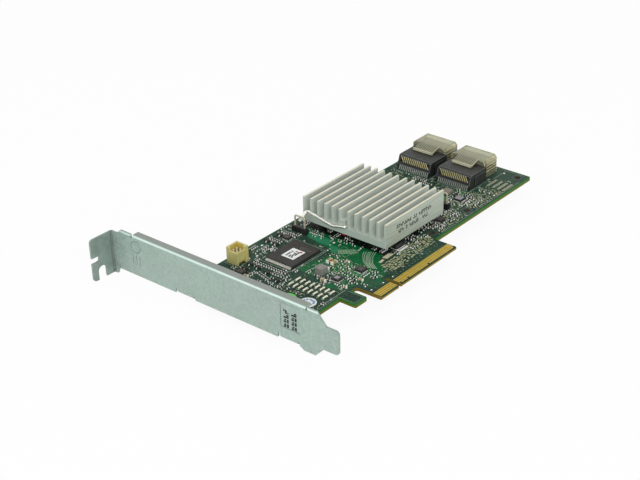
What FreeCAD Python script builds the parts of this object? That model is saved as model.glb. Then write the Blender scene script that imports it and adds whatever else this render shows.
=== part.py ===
# Raid controller card: a board with edge contacts, a folded bracket, a finned heat sink held by a wire
# clip, two capped cable ports, a memory chip, a shrouded header and small parts.
# Frame: X from the bracket's outer face to the tail, Y from the contact tips to the top edge, Z off the
# component face. Millimetres.
import FreeCAD, Part
import Sketcher
import math
import os
import re
from FreeCAD import Placement, Rotation, Vector

DRIVING_SIZES = {
    # Board
    "board_front": 1.2,
    "board_tail": 167.65,
    "board_top": 68.9,
    "board_thickness": 1.57,
    "board_corner": 1.0,
    "front_edge_low": 12.2,
    "tail_edge_low": 10.6,
    "foot_left": 29.8,
    "foot_right": 37.3,
    "foot_bottom": 4.4,
    "foot_corner": 0.8,
    "slot_top": 12.7,
    "slot_corner": 1.6,
    "short_tongue_left": 40.86,
    "short_tongue_right": 52.05,
    "key_notch_width": 1.9,
    "key_notch_top": 7.4,
    "key_notch_corner": 0.9,
    "long_tongue_right": 92.16,
    "finger_bevel": 0.4,
    "tail_hole_place": 163.4,
    "middle_hole_place": 122.1,
    "near_hole_place": 95.9,
    "fixing_hole_rise": 15.2,
    "fixing_hole_radius": 1.5,
    "near_hole_radius": 1.6,
    "tooling_hole_rise": 22.3,
    "tooling_hole_radius": 0.75,
    # Edge contacts
    "contact_pitch": 1.0,
    "contact_width": 0.7,
    "contact_plating": 0.05,
    "contact_inner_end": 4.5,
    "contact_outer_end": 0.5,
    "presence_outer_end": 1.4,
    "contact_key_gap": 1.5,
    # Bracket
    "sheet_thickness": 0.9,
    "bend_inner": 0.4,
    "tongue_tip": -11.2,
    "tongue_low": -1.9,
    "tongue_high": 8.4,
    "tongue_corner": 1.6,
    "shoulder_start": -5.2,
    "shoulder_end": -0.7,
    "plate_high": 13.4,
    "plate_low": -4.9,
    "plate_top_end": 102.6,
    "neck_start": 104.8,
    "neck_high": 11.35,
    "neck_low": -7.8,
    "lower_neck_start": 105.1,
    "lower_neck_end": 106.3,
    "toe_low": -6.0,
    "toe_start": -4.0,
    "toe_corner": 0.0,
    "toe_end": 5.6,
    "toe_step": 7.2,
    "tab_face": 108.9,
    "tab_reach": 11.43,
    "tab_corner": 1.5,
    "tab_notch_near": 4.2,
    "tab_notch_width": 4.4,
    "tab_notch_top": -2.1,
    "tab_notch_corner": 2.0,
    "side_notch_low": 0.5,
    "side_notch_high": 3.0,
    "side_notch_end": 7.6,
    "side_notch_corner": 0.9,
    "flange_start": 4.6,
    "flange_end": 95.6,
    "flange_depth": 3.6,
    "relief_width": 1.0,
    "relief_depth": 1.4,
    "ear_width": 8.6,
    "lower_ear_start": 8.7,
    "upper_ear_start": 62.7,
    "ear_reach": 11.0,
    "ear_flat_start": 4.6,
    "ear_ramp_start": 2.3,
    "ear_corner": 1.5,
    "ear_relief_radius": 0.6,
    "marking_start": 7.3,
    "marking_end": 17.0,
    "marking_low": 0.4,
    "marking_high": 11.4,
    "marking_depth": 0.15,
    # Bracket screws
    "screw_place": 6.4,
    "lower_screw_rise": 15.2,
    "upper_screw_rise": 64.6,
    "screw_shank_radius": 1.45,
    "screw_shank_length": 3.6,
    "screw_clearance": 0.05,
    "screw_head_radius": 2.8,
    "screw_head_height": 1.9,
    "screw_head_edge": 0.7,
    "screw_crown_radius": 2.0,
    "screw_crown_height": 1.55,
    "screw_slot_width": 0.7,
    "screw_slot_length": 3.0,
    "screw_slot_depth": 1.0,
    # Heat sink
    "sink_length": 41.1,
    "sink_width": 44.0,
    "sink_underside": 3.27,
    "sink_base_thickness": 3.03,
    "sink_top": 14.19,
    "fin_thickness": 0.95,
    "middle_channel": 3.51,
    "fins_per_side": 6,
    "rail_width": 2.0,
    "rail_height": 2.9,
    # Controller chip
    "chip_place": 88.15,
    "chip_rise": 40.4,
    "substrate_side": 31.0,
    "substrate_thickness": 1.2,
    "lid_side": 25.0,
    "lid_thickness": 1.57,
    "lid_bevel": 0.4,
    "pad_side": 22.0,
    # Spring clip and anchors
    "clip_wire_radius": 0.65,
    "clip_clearance": 0.08,
    "clip_crest_height": 8.6,
    "clip_dip_height": 5.6,
    "clip_dip_offset": 6.6,
    "clip_hook_drop": 3.6,
    "clip_bend": 1.2,
    "clip_channel_bend": 0.9,
    "clip_dip_bend": 6.0,
    "front_anchor_distance": 20.5,
    "front_anchor_gap": 3.5,
    "rear_anchor_distance": 13.8,
    "rear_anchor_gap": 7.7,
    "anchor_base_depth": 2.0,
    "anchor_base_width": 7.6,
    "anchor_base_height": 2.6,
    "anchor_loop_width": 5.2,
    "anchor_loop_top": 7.8,
    "anchor_wire_radius": 0.4,
    "wire_flats": 10,
    # Cable ports
    "port_back": 138.7,
    "port_front": 152.6,
    "near_port_side": 25.2,
    "port_pitch": 21.9,
    "port_width": 17.9,
    "port_height": 6.4,
    "port_cheek": 1.1,
    "port_back_bevel": 2.2,
    "port_recess_depth": 3.0,
    "port_sill": 2.1,
    "port_ledge": 1.3,
    "port_lip": 5.9,
    "port_lip_setback": 1.2,
    "port_ledge_setback": 0.4,
    "port_mouth_inset": 1.7,
    "port_mouth_low": 1.1,
    "port_mouth_high": 5.6,
    "port_back_wall": 1.9,
    "port_blade_thickness": 1.0,
    "port_blade_inset": 2.0,
    "port_blade_setback": 1.2,
    "port_boss_radius": 1.0,
    "port_boss_height": 2.6,
    "port_pocket_front": 4.2,
    "port_pocket_end": 10.4,
    "port_pocket_high": 4.6,
    "port_pocket_depth": 0.5,
    "port_contact_pitch": 0.8,
    "port_contact_width": 0.45,
    "port_contact_thickness": 0.25,
    "port_contacts_per_row": 19,
    "port_foot_length": 0.9,
    # Dust caps
    "cap_length": 9.9,
    "cap_width": 18.1,
    "cap_shift": 1.1,
    "cap_height": 8.7,
    "cap_lift": 0.1,
    "cap_wall": 0.9,
    "cap_bevel": 1.2,
    "cap_shelf_thickness": 0.7,
    "cap_lower_shelf": 3.0,
    "cap_upper_shelf": 5.8,
    "cap_tab_width": 10.5,
    "cap_tab_reach": 5.6,
    "cap_tab_thickness": 0.7,
    "cap_tab_lip": 0.5,
    "cap_tab_gap": 0.3,
    "cap_plug_length": 5.5,
    "cap_plug_clearance": 0.2,
    # Memory chip
    "memory_front": 36.1,
    "memory_length": 18.3,
    "memory_low_side": 42.0,
    "memory_width": 14.2,
    "memory_top": 1.1,
    "memory_standoff": 0.1,
    "memory_bevel": 0.15,
    "memory_lead_count": 27,
    "memory_lead_pitch": 0.5,
    "memory_lead_width": 0.22,
    "memory_lead_thickness": 0.15,
    "memory_lead_reach": 0.9,
    "memory_lead_foot": 0.45,
    "memory_label_front": 40.6,
    "memory_label_length": 7.8,
    "memory_label_low_side": 45.3,
    "memory_label_width": 6.5,
    "label_thickness": 0.08,
    # Shrouded header
    "header_front": 24.3,
    "header_length": 6.4,
    "header_low_side": 61.1,
    "header_width": 5.8,
    "header_height": 7.2,
    "header_wall": 0.9,
    "header_floor": 2.0,
    "header_post": 1.7,
    "header_slot_depth": 1.5,
    "header_rib": 0.5,
    "header_window_height": 1.3,
    "header_pin_side": 0.5,
    "header_pin_pitch": 2.0,
    "header_pin_top": 5.6,
    # Power parts
    "inductor_front": 38.7,
    "inductor_low_side": 28.5,
    "inductor_side": 4.1,
    "inductor_height": 3.0,
    "inductor_corner": 0.6,
    "inductor_foot": 0.25,
    "inductor_foot_width": 1.6,
    "inductor_foot_length": 0.9,
    "regulator_front": 74.1,
    "regulator_low_side": 17.9,
    "regulator_length": 6.2,
    "regulator_width": 5.4,
    "regulator_height": 2.3,
    "regulator_tab_reach": 2.0,
    "regulator_tab_inset": 0.4,
    "regulator_tab_thickness": 0.5,
    "regulator_lead_width": 0.8,
    "regulator_lead_reach": 1.6,
    "regulator_lead_pitch": 2.2,
    "regulator_lead_hidden": 1.0,
    "regulator_plate_hidden": 3.2,
    # Small chips
    "power_stage_chip_front": 39.0,
    "power_stage_chip_low_side": 20.6,
    "power_stage_chip_length": 3.7,
    "power_stage_chip_width": 3.6,
    "power_stage_chip_height": 1.0,
    "clock_chip_front": 50.4,
    "clock_chip_low_side": 17.4,
    "clock_chip_length": 3.8,
    "clock_chip_width": 3.9,
    "clock_chip_height": 1.0,
    "tail_logic_chip_front": 126.7,
    "tail_logic_chip_low_side": 21.5,
    "tail_logic_chip_length": 3.9,
    "tail_logic_chip_width": 3.9,
    "tail_logic_chip_height": 1.1,
    "header_driver_chip_front": 19.5,
    "header_driver_chip_low_side": 54.2,
    "header_driver_chip_length": 3.1,
    "header_driver_chip_width": 4.2,
    "header_driver_chip_height": 1.2,
    "supervisor_chip_front": 53.3,
    "supervisor_chip_low_side": 58.9,
    "supervisor_chip_length": 2.8,
    "supervisor_chip_width": 3.2,
    "supervisor_chip_height": 1.1,
    "sink_side_chip_front": 105.4,
    "sink_side_chip_low_side": 17.2,
    "sink_side_chip_length": 3.4,
    "sink_side_chip_width": 3.2,
    "sink_side_chip_height": 1.0,
    # Large ceramic capacitors
    "left_output_capacitor_front": 48.45,
    "left_output_capacitor_low_side": 33.05,
    "left_output_capacitor_length": 2.9,
    "left_output_capacitor_width": 1.7,
    "left_output_capacitor_height": 1.3,
    "right_output_capacitor_front": 48.45,
    "right_output_capacitor_low_side": 30.65,
    "right_output_capacitor_length": 2.9,
    "right_output_capacitor_width": 1.7,
    "right_output_capacitor_height": 1.3,
    "slot_capacitor_front": 45.35,
    "slot_capacitor_low_side": 13.25,
    "slot_capacitor_length": 1.3,
    "slot_capacitor_width": 2.1,
    "slot_capacitor_height": 0.9,
    "header_capacitor_front": 19.55,
    "header_capacitor_low_side": 51.55,
    "header_capacitor_length": 1.3,
    "header_capacitor_width": 2.1,
    "header_capacitor_height": 0.9,
    "inductor_capacitor_front": 44.15,
    "inductor_capacitor_low_side": 29.8,
    "inductor_capacitor_length": 1.3,
    "inductor_capacitor_width": 2.4,
    "inductor_capacitor_height": 1.2,
    "input_capacitor_front": 35.3,
    "input_capacitor_low_side": 24.5,
    "input_capacitor_length": 1.6,
    "input_capacitor_width": 2.4,
    "input_capacitor_height": 1.2,
    # Long resistors
    "resistor_first_front": 25.1,
    "resistor_first_low_side": 16.95,
    "resistor_step_along": 4.45,
    "resistor_step_across": 2.5,
    "resistor_columns": 2,
    "resistor_rows": 8,
    "resistor_length": 3.4,
    "resistor_width": 0.9,
    "resistor_height": 0.5,
    # Round stickers
    "sticker_thickness": 0.08,
    "white_sticker_place": 19.9,
    "white_sticker_rise": 20.3,
    "white_sticker_radius": 3.6,
    "green_sticker_place": 18.0,
    "green_sticker_rise": 28.8,
    "green_sticker_radius": 3.4,
}

DOC = FreeCAD.newDocument("raid_card")
SHEET = DOC.addObject("Spreadsheet::Sheet", "Sizes")
for row, (alias, number) in enumerate(DRIVING_SIZES.items(), 1):
    SHEET.set(f"A{row}", alias.replace("_", " "))
    SHEET.set(f"B{row}", str(number))
    SHEET.setAlias(f"B{row}", alias)
DOC.recompute()

SUBPARTS = []
PLANES = {"XY": "XY_Plane", "XZ": "XZ_Plane", "YZ": "YZ_Plane"}
SAME_PLACE = 0.002


def size(alias):
    """A driving size, read from the sheet."""
    return float(SHEET.get(alias))


def formula(text):
    """The same sum, written so that any object can read it."""
    return re.sub(r"[a-z_][a-z_0-9]*", lambda name: "Sizes." + name.group(0), text)


def worth(text):
    """What a sum of driving sizes comes to now, worked out by the sheet itself."""
    result = SHEET.evalExpression(text)
    return float(getattr(result, "Value", result))


def spot(x, y, z):
    """A point whose three coordinates are sums of driving sizes."""
    return Vector(worth(x), worth(y), worth(z))


# Places that several pieces share, as sums of driving sizes
SINK_FRONT = "chip_place - sink_length / 2"
SINK_REAR = "chip_place + sink_length / 2"
SINK_LOW = "chip_rise - sink_width / 2"
SINK_HIGH = "chip_rise + sink_width / 2"
SINK_FLOOR = "sink_underside + sink_base_thickness"
FIN_PITCH = "((sink_width - middle_channel) / 2 - fin_thickness) / (fins_per_side - 1)"
RAIL_EDGE = "chip_rise + middle_channel / 2 - rail_width"
CHIP_MIDDLE = ("chip_place", "chip_rise")

# How the pieces are drawn and kept


def keep(name, thing):
    """Note an object as a sub-part: its label is the name of its file."""
    thing.Label = name
    SUBPARTS.append(thing)
    return thing


def new_body(name):
    return keep(name, DOC.addObject("PartDesign::Body", name))


def new_sketch(body, plane, offset="0"):
    """An empty sketch on one of the body's own planes, moved along the plane's normal."""
    sketch = body.newObject("Sketcher::SketchObject", body.Name + "_sketch")
    support = [face for face in body.Origin.OriginFeatures if face.Role == PLANES[plane]][0]
    sketch.AttachmentSupport = (support, [""])
    sketch.MapMode = "FlatFace"
    sketch.setExpression("AttachmentOffset.Base.z", formula(offset))
    return sketch


def pin_point(sketch, geometry, end, u, v):
    """Tie a point of the sketch to two sums of driving sizes."""
    for kind, text in (("DistanceX", u), ("DistanceY", v)):
        number = sketch.addConstraint(Sketcher.Constraint(kind, -1, 1, geometry, end, worth(text)))
        sketch.setExpression(f"Constraints[{number}]", formula(text))


def draw_loop(sketch, corners):
    """A closed outline through corners that are pairs of sums."""
    places = [Vector(worth(u), worth(v), 0) for u, v in corners]
    first = sketch.GeometryCount
    count = len(places)
    for index in range(count):
        line = Part.LineSegment(places[index], places[(index + 1) % count])
        sketch.addGeometry(line, False)
    for index in range(count):
        following = first + (index + 1) % count
        sketch.addConstraint(Sketcher.Constraint("Coincident", first + index, 2, following, 1))
    for index, (u, v) in enumerate(corners):
        pin_point(sketch, first + index, 1, u, v)


def draw_box(sketch, low_u, low_v, high_u, high_v):
    draw_loop(sketch, [(low_u, low_v), (high_u, low_v), (high_u, high_v), (low_u, high_v)])


def draw_circle(sketch, u, v, radius):
    centre = Vector(worth(u), worth(v), 0)
    circle = sketch.addGeometry(Part.Circle(centre, Vector(0, 0, 1), worth(radius)), False)
    pin_point(sketch, circle, 3, u, v)
    number = sketch.addConstraint(Sketcher.Constraint("Radius", circle, worth(radius)))
    sketch.setExpression(f"Constraints[{number}]", formula(radius))


def pad(body, sketch, length, reverse=False):
    feature = body.newObject("PartDesign::Pad", body.Name + "_pad")
    feature.Profile = sketch
    feature.Reversed = reverse
    feature.setExpression("Length", formula(length))
    return feature


def cut_through(body, sketch):
    """A cut through the whole piece, both ways from the sketch."""
    feature = body.newObject("PartDesign::Pocket", body.Name + "_cut")
    feature.Profile = sketch
    feature.Type = "ThroughAll"
    feature.SideType = "Symmetric"
    return feature


def cut(body, sketch, depth, reverse=False):
    feature = body.newObject("PartDesign::Pocket", body.Name + "_recess")
    feature.Profile = sketch
    feature.Reversed = reverse
    feature.setExpression("Length", formula(depth))
    return feature


def edges_along(shape, axis, places, span=None):
    """Names of the straight edges along an axis that pass through places given as two sums each."""
    others = [index for index in range(3) if index != axis]
    wanted = [(worth(u), worth(v)) for u, v in places]
    names = []
    for number, edge in enumerate(shape.Edges, 1):
        if len(edge.Vertexes) != 2:
            continue
        start = edge.Vertexes[0].Point
        end = edge.Vertexes[1].Point
        if any(abs(start[index] - end[index]) > SAME_PLACE for index in others):
            continue
        middle = (start[axis] + end[axis]) / 2
        if span and not worth(span[0]) < middle < worth(span[1]):
            continue
        if any(abs(start[others[0]] - u) + abs(start[others[1]] - v) < SAME_PLACE for u, v in wanted):
            names.append(f"Edge{number}")
    return names


def soften(body, axis, places, amount, span=None, bevel=False):
    """Round or bevel the body's edges that run along an axis through the places."""
    DOC.recompute()
    base = body.Tip
    names = edges_along(base.Shape, axis, places, span)
    if not names:
        raise RuntimeError(f"{body.Label}: no edge to soften at {places}")
    kind = "PartDesign::Chamfer" if bevel else "PartDesign::Fillet"
    feature = body.newObject(kind, body.Name + "_edge")
    feature.Base = (base, names)
    feature.setExpression("Size" if bevel else "Radius", formula(amount))
    return feature


def part_box(name, corner, sides):
    """A box whose corner and sides are sums of driving sizes."""
    box = DOC.addObject("Part::Box", name)
    for axis, text in zip("xyz", corner):
        box.setExpression(f"Placement.Base.{axis}", formula(text))
    for side, text in zip(("Length", "Width", "Height"), sides):
        box.setExpression(side, formula(text))
    return box


def part_cylinder(name, foot, radius, height):
    cylinder = DOC.addObject("Part::Cylinder", name)
    for axis, text in zip("xyz", foot):
        cylinder.setExpression(f"Placement.Base.{axis}", formula(text))
    cylinder.setExpression("Radius", formula(radius))
    cylinder.setExpression("Height", formula(height))
    return cylinder


def group(name, solids):
    """Separate solids that make one sub-part."""
    feature = DOC.addObject("Part::Feature", name)
    feature.Shape = Part.makeCompound(solids)
    feature.Placement = Placement()
    return keep(name, feature)


def slab(points, push):
    """A solid made by pushing a flat outline along a vector."""
    return Part.Face(Part.makePolygon(points + points[:1])).extrude(push)


def bent_wire(points, bends, radius):
    """A wire along straight runs that are joined by arcs, one bend radius for each inner point.

    Its section has as many flats as the sheet says, between the wire's own radius and a little under it.
    """
    edges = []
    start = points[0]
    for index, bend in enumerate(bends, 1):
        before = (points[index - 1] - points[index]).normalize()
        after = (points[index + 1] - points[index]).normalize()
        half = before.getAngle(after) / 2
        reach = bend / math.tan(half)
        middle_way = (before + after).normalize()
        centre = points[index] + middle_way * (bend / math.sin(half))
        arc_start = points[index] + before * reach
        arc_end = points[index] + after * reach
        edges.append(Part.LineSegment(start, arc_start).toShape())
        edges.append(Part.Arc(arc_start, centre - middle_way * bend, arc_end).toShape())
        start = arc_end
    edges.append(Part.LineSegment(start, points[-1]).toShape())
    heading = (points[1] - points[0]).normalize()
    flats = int(size("wire_flats"))
    turn = Rotation(Vector(0, 0, 1), heading)
    rim = []
    for step in range(flats):
        angle = 2 * math.pi * step / flats
        rim.append(points[0] + turn.multVec(Vector(math.cos(angle), math.sin(angle), 0) * radius))
    ring = Part.makePolygon(rim + rim[:1])
    return Part.Wire(edges).makePipeShell([ring], True, False)


# Board


def make_board():
    body = new_body("circuit_board")
    outline = new_sketch(body, "XY")
    long_left = "short_tongue_right + key_notch_width"
    draw_loop(outline, [
        ("board_front", "front_edge_low"), ("foot_left", "front_edge_low"),
        ("foot_left", "foot_bottom"), ("foot_right", "foot_bottom"),
        ("foot_right", "slot_top"), ("short_tongue_left", "slot_top"),
        ("short_tongue_left", "0"), ("short_tongue_right", "0"),
        ("short_tongue_right", "key_notch_top"), (long_left, "key_notch_top"),
        (long_left, "0"), ("long_tongue_right", "0"),
        ("long_tongue_right", "tail_edge_low"), ("board_tail", "tail_edge_low"),
        ("board_tail", "board_top"), ("board_front", "board_top"),
    ])
    pad(body, outline, "board_thickness", True)
    soften(body, 2, [("foot_right", "slot_top"), ("short_tongue_left", "slot_top")], "slot_corner")
    soften(body, 2, [("short_tongue_right", "key_notch_top"), (long_left, "key_notch_top")],
           "key_notch_corner")
    soften(body, 2, [("board_tail", "tail_edge_low"), ("board_tail", "board_top"),
                     ("board_front", "board_top")], "board_corner")
    soften(body, 2, [("foot_left", "foot_bottom"), ("foot_right", "foot_bottom")], "foot_corner")
    soften(body, 0, [("0", "0"), ("0", "-board_thickness")], "finger_bevel", bevel=True)
    holes = new_sketch(body, "XY")
    draw_circle(holes, "tail_hole_place", "fixing_hole_rise", "fixing_hole_radius")
    draw_circle(holes, "middle_hole_place", "fixing_hole_rise", "fixing_hole_radius")
    draw_circle(holes, "near_hole_place", "fixing_hole_rise", "near_hole_radius")
    draw_circle(holes, "tail_hole_place", "tooling_hole_rise", "tooling_hole_radius")
    for rise in ("lower_screw_rise", "upper_screw_rise"):
        draw_circle(holes, "screw_place", rise, "screw_shank_radius + screw_clearance")
    cut_through(body, holes)


def make_edge_contacts():
    """Two rows of plated contacts each side of the key notch; the presence contacts are shorter."""
    key = worth("short_tongue_right + key_notch_width / 2")
    pitch = size("contact_pitch")
    gap = size("contact_key_gap")
    half_width = size("contact_width") / 2
    plating = size("contact_plating")
    inner = size("contact_inner_end")
    left_end = size("short_tongue_left") + half_width
    right_end = size("long_tongue_right") - half_width
    short_row = int((key - gap - left_end) / pitch) + 1
    long_row = int((right_end - key - gap) / pitch) + 1
    places = [key - gap - pitch * step for step in range(short_row)]
    places += [key + gap + pitch * step for step in range(long_row)]
    presence = (0, 5, 19, long_row - 1)
    faces = {"component_side_contacts": 0.0, "solder_side_contacts": -size("board_thickness") - plating}
    for name, level in faces.items():
        plates = []
        for number, place in enumerate(places):
            outer = size("contact_outer_end")
            if number - short_row in presence:
                outer = size("presence_outer_end")
            corner = Vector(place - half_width, outer, level)
            plates.append(Part.makeBox(2 * half_width, inner - outer, plating, corner))
        group(name, plates)


# Bracket and its screws


def make_bracket():
    body = new_body("mounting_bracket")
    plate = new_sketch(body, "YZ")
    draw_loop(plate, [
        ("tongue_tip", "tongue_low"), ("toe_start", "tongue_low"), ("toe_corner", "toe_low"),
        ("toe_end", "toe_low"), ("toe_step", "plate_low"), ("lower_neck_start", "plate_low"),
        ("lower_neck_end", "neck_low"), ("tab_face", "neck_low"), ("tab_face", "neck_high"),
        ("neck_start", "neck_high"), ("plate_top_end", "plate_high"),
        ("shoulder_end", "plate_high"), ("shoulder_start", "tongue_high"),
        ("tongue_tip", "tongue_high"),
    ])
    pad(body, plate, "sheet_thickness")

    tab = new_sketch(body, "XZ", "sheet_thickness - tab_face")
    notch_far = "-tab_notch_near - tab_notch_width"
    draw_loop(tab, [
        ("sheet_thickness", "neck_low"), ("sheet_thickness", "neck_high"),
        ("-tab_reach", "neck_high"), ("-tab_reach", "side_notch_high"),
        ("-side_notch_end", "side_notch_high"), ("-side_notch_end", "side_notch_low"),
        ("-tab_reach", "side_notch_low"), ("-tab_reach", "neck_low"),
        (notch_far, "neck_low"), (notch_far, "tab_notch_top"),
        ("-tab_notch_near", "tab_notch_top"), ("-tab_notch_near", "neck_low"),
    ])
    pad(body, tab, "sheet_thickness", True)

    flange = new_sketch(body, "XY", "plate_high - sheet_thickness")
    draw_box(flange, "0", "flange_start", "flange_depth", "flange_end")
    pad(body, flange, "sheet_thickness")

    for start in ("lower_ear_start", "upper_ear_start"):
        ear = new_sketch(body, "XZ", "-" + start)
        under = "-board_thickness - sheet_thickness"
        draw_loop(ear, [
            ("0", "plate_low"), ("ear_ramp_start", "plate_low"), ("ear_flat_start", under),
            ("ear_reach", under), ("ear_reach", "-board_thickness"),
            ("ear_flat_start - bend_inner", "-board_thickness"),
            ("ear_ramp_start - bend_inner", "plate_low + sheet_thickness"),
            ("0", "plate_low + sheet_thickness"),
        ])
        pad(body, ear, "ear_width", True)

    reliefs = new_sketch(body, "YZ")
    ear_notch = "plate_low + bend_inner + sheet_thickness"
    floor = "plate_high - relief_depth"
    roof = "plate_high + relief_depth"
    draw_box(reliefs, "flange_start - relief_width", floor, "flange_start", roof)
    draw_box(reliefs, "flange_end", floor, "flange_end + relief_width", roof)
    for start in ("lower_ear_start", "upper_ear_start"):
        end = start + " + ear_width"
        draw_box(reliefs, start + " - relief_width", "plate_low - relief_depth",
                 start, "plate_low + relief_depth")
        draw_box(reliefs, end, "plate_low - relief_depth", end + " + 2 * ear_relief_radius", ear_notch)
    cut_through(body, reliefs)
    rounds = new_sketch(body, "YZ")
    for start in ("lower_ear_start", "upper_ear_start"):
        draw_circle(rounds, start + " + ear_width + ear_relief_radius", ear_notch, "ear_relief_radius")
    cut_through(body, rounds)

    holes = new_sketch(body, "XY")
    for rise in ("lower_screw_rise", "upper_screw_rise"):
        draw_circle(holes, "screw_place", rise, "screw_shank_radius + screw_clearance")
    cut_through(body, holes)

    marking = new_sketch(body, "YZ")
    draw_box(marking, "marking_start", "marking_low", "marking_end", "marking_high")
    cut(body, marking, "marking_depth", True)

    soften(body, 1, [("0", "plate_high")], "bend_inner + sheet_thickness",
           ("flange_start", "flange_end"))
    soften(body, 1, [("sheet_thickness", "plate_high - sheet_thickness")], "bend_inner",
           ("flange_start", "flange_end"))
    soften(body, 2, [("sheet_thickness", "tab_face")], "bend_inner + sheet_thickness")
    soften(body, 2, [("0", "tab_face - sheet_thickness")], "bend_inner")
    for start in ("lower_ear_start", "upper_ear_start"):
        span = (start, start + " + ear_width")
        soften(body, 1, [("0", "plate_low")], "bend_inner + sheet_thickness", span)
        soften(body, 2, [("ear_reach", start), ("ear_reach", span[1])], "ear_corner")
    soften(body, 0, [("tongue_tip", "tongue_low"), ("tongue_tip", "tongue_high")], "tongue_corner")
    soften(body, 1, [("-tab_reach", "neck_high"), ("-tab_reach", "neck_low")], "tab_corner")
    soften(body, 1, [("-tab_notch_near", "tab_notch_top"), (notch_far, "tab_notch_top")],
           "tab_notch_corner")
    soften(body, 1, [("-side_notch_end", "side_notch_low"), ("-side_notch_end", "side_notch_high")],
           "side_notch_corner")


def make_bracket_screws():
    """Two pan-head screws from the component side, through the board and into the ears."""
    shank = size("screw_shank_radius")
    head = size("screw_head_radius")
    edge = size("screw_head_edge")
    top = size("screw_head_height")
    half_slot = size("screw_slot_width") / 2
    reach = size("screw_slot_length") / 2
    depth = size("screw_slot_depth")
    crown = size("screw_crown_radius")
    shoulder = size("screw_crown_height")
    profile = [
        Part.LineSegment(Vector(0, 0, -size("screw_shank_length")),
                         Vector(shank, 0, -size("screw_shank_length"))).toShape(),
        Part.LineSegment(Vector(shank, 0, -size("screw_shank_length")), Vector(shank, 0, 0)).toShape(),
        Part.LineSegment(Vector(shank, 0, 0), Vector(head, 0, 0)).toShape(),
        Part.LineSegment(Vector(head, 0, 0), Vector(head, 0, edge)).toShape(),
        Part.LineSegment(Vector(head, 0, edge), Vector(crown, 0, shoulder)).toShape(),
        Part.LineSegment(Vector(crown, 0, shoulder), Vector(0, 0, top)).toShape(),
        Part.LineSegment(Vector(0, 0, top), Vector(0, 0, -size("screw_shank_length"))).toShape(),
    ]
    solid = Part.Face(Part.Wire(profile)).revolve(Vector(), Vector(0, 0, 1), 360)
    for long_way, short_way in ((reach, half_slot), (half_slot, reach)):
        corner = Vector(-long_way, -short_way, top - depth)
        solid = solid.cut(Part.makeBox(2 * long_way, 2 * short_way, top, corner))
    places = [spot("screw_place", rise, "0") for rise in ("lower_screw_rise", "upper_screw_rise")]
    group("bracket_screws", [solid.translated(place) for place in places])


# Heat sink, chip and clip


def make_heat_sink():
    body = new_body("heat_sink")
    base = new_sketch(body, "XY", "sink_underside")
    draw_box(base, SINK_FRONT, SINK_LOW, SINK_REAR, SINK_HIGH)
    pad(body, base, "sink_base_thickness")
    outer_sides = {"low": SINK_LOW, "high": SINK_HIGH + " - fin_thickness"}
    across = [axis for axis in body.Origin.OriginFeatures if axis.Role == "Y_Axis"][0]
    for side, start in outer_sides.items():
        fin = new_sketch(body, "XY", SINK_FLOOR)
        draw_box(fin, SINK_FRONT, start, SINK_REAR, start + " + fin_thickness")
        fin_pad = pad(body, fin, "sink_top - sink_underside - sink_base_thickness")
        row = body.newObject("PartDesign::LinearPattern", "heat_sink_fins")
        row.Originals = [fin_pad]
        row.Direction = (across, [""])
        row.Reversed = side == "high"
        row.setExpression("Length", formula(f"{FIN_PITCH} * (fins_per_side - 1)"))
        row.setExpression("Occurrences", formula("fins_per_side"))
        body.Tip = row
    rail = new_sketch(body, "XY", SINK_FLOOR)
    draw_box(rail, SINK_FRONT, RAIL_EDGE, SINK_REAR, RAIL_EDGE + " + rail_width")
    pad(body, rail, "rail_height")


def make_controller():
    """The chip under the heat sink: a substrate, a bevelled lid and the pad that fills the rest."""
    layers = [
        ("controller_substrate", "substrate_side", "0", "substrate_thickness"),
        ("thermal_pad", "pad_side", "substrate_thickness + lid_thickness",
         "sink_underside - substrate_thickness - lid_thickness"),
    ]
    for name, side, level, thickness in layers:
        corner = [f"{middle} - {side} / 2" for middle in CHIP_MIDDLE]
        keep(name, part_box(name, corner + [level], [side, side, thickness]))
    body = new_body("controller_lid")
    lid = new_sketch(body, "XY", "substrate_thickness")
    low = [f"{middle} - lid_side / 2" for middle in CHIP_MIDDLE]
    high = [f"{middle} + lid_side / 2" for middle in CHIP_MIDDLE]
    draw_box(lid, low[0], low[1], high[0], high[1])
    pad(body, lid, "lid_thickness")
    top = "substrate_thickness + lid_thickness"
    soften(body, 0, [(low[1], top), (high[1], top)], "lid_bevel", bevel=True)


def make_clip():
    """A wire bent into a Z: a run along the middle channel, an arm across each end and two hooks."""
    wire = size("clip_wire_radius")
    beside = wire + size("clip_clearance")
    run_y = worth(RAIL_EDGE) - beside
    run_z = worth(SINK_FLOOR) + beside
    front_x = worth(SINK_FRONT) - beside
    rear_x = worth(SINK_REAR) + beside
    crest = size("clip_crest_height")
    arms = []
    for end, edge_x, way in (("front", front_x, 1), ("rear", rear_x, -1)):
        hook_y = run_y + way * size(end + "_anchor_distance")
        hook_x = edge_x - way * (size(end + "_anchor_gap") + size("anchor_base_depth") / 2)
        arms.append([
            Vector(hook_x, hook_y, crest - size("clip_hook_drop")),
            Vector(edge_x, hook_y, crest),
            Vector(edge_x, run_y + way * size("clip_dip_offset"), size("clip_dip_height")),
            Vector(edge_x, run_y, run_z),
        ])
        make_anchor(end, hook_x, hook_y)
    bend = size("clip_bend")
    channel_bend = size("clip_channel_bend")
    bends = [bend, size("clip_dip_bend"), channel_bend]
    bends += reversed(bends)
    clip = DOC.addObject("Part::Feature", "heat_sink_clip")
    clip.Shape = bent_wire(arms[0] + arms[1][::-1], bends, wire)
    clip.Placement = Placement()
    keep("heat_sink_clip", clip)


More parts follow.
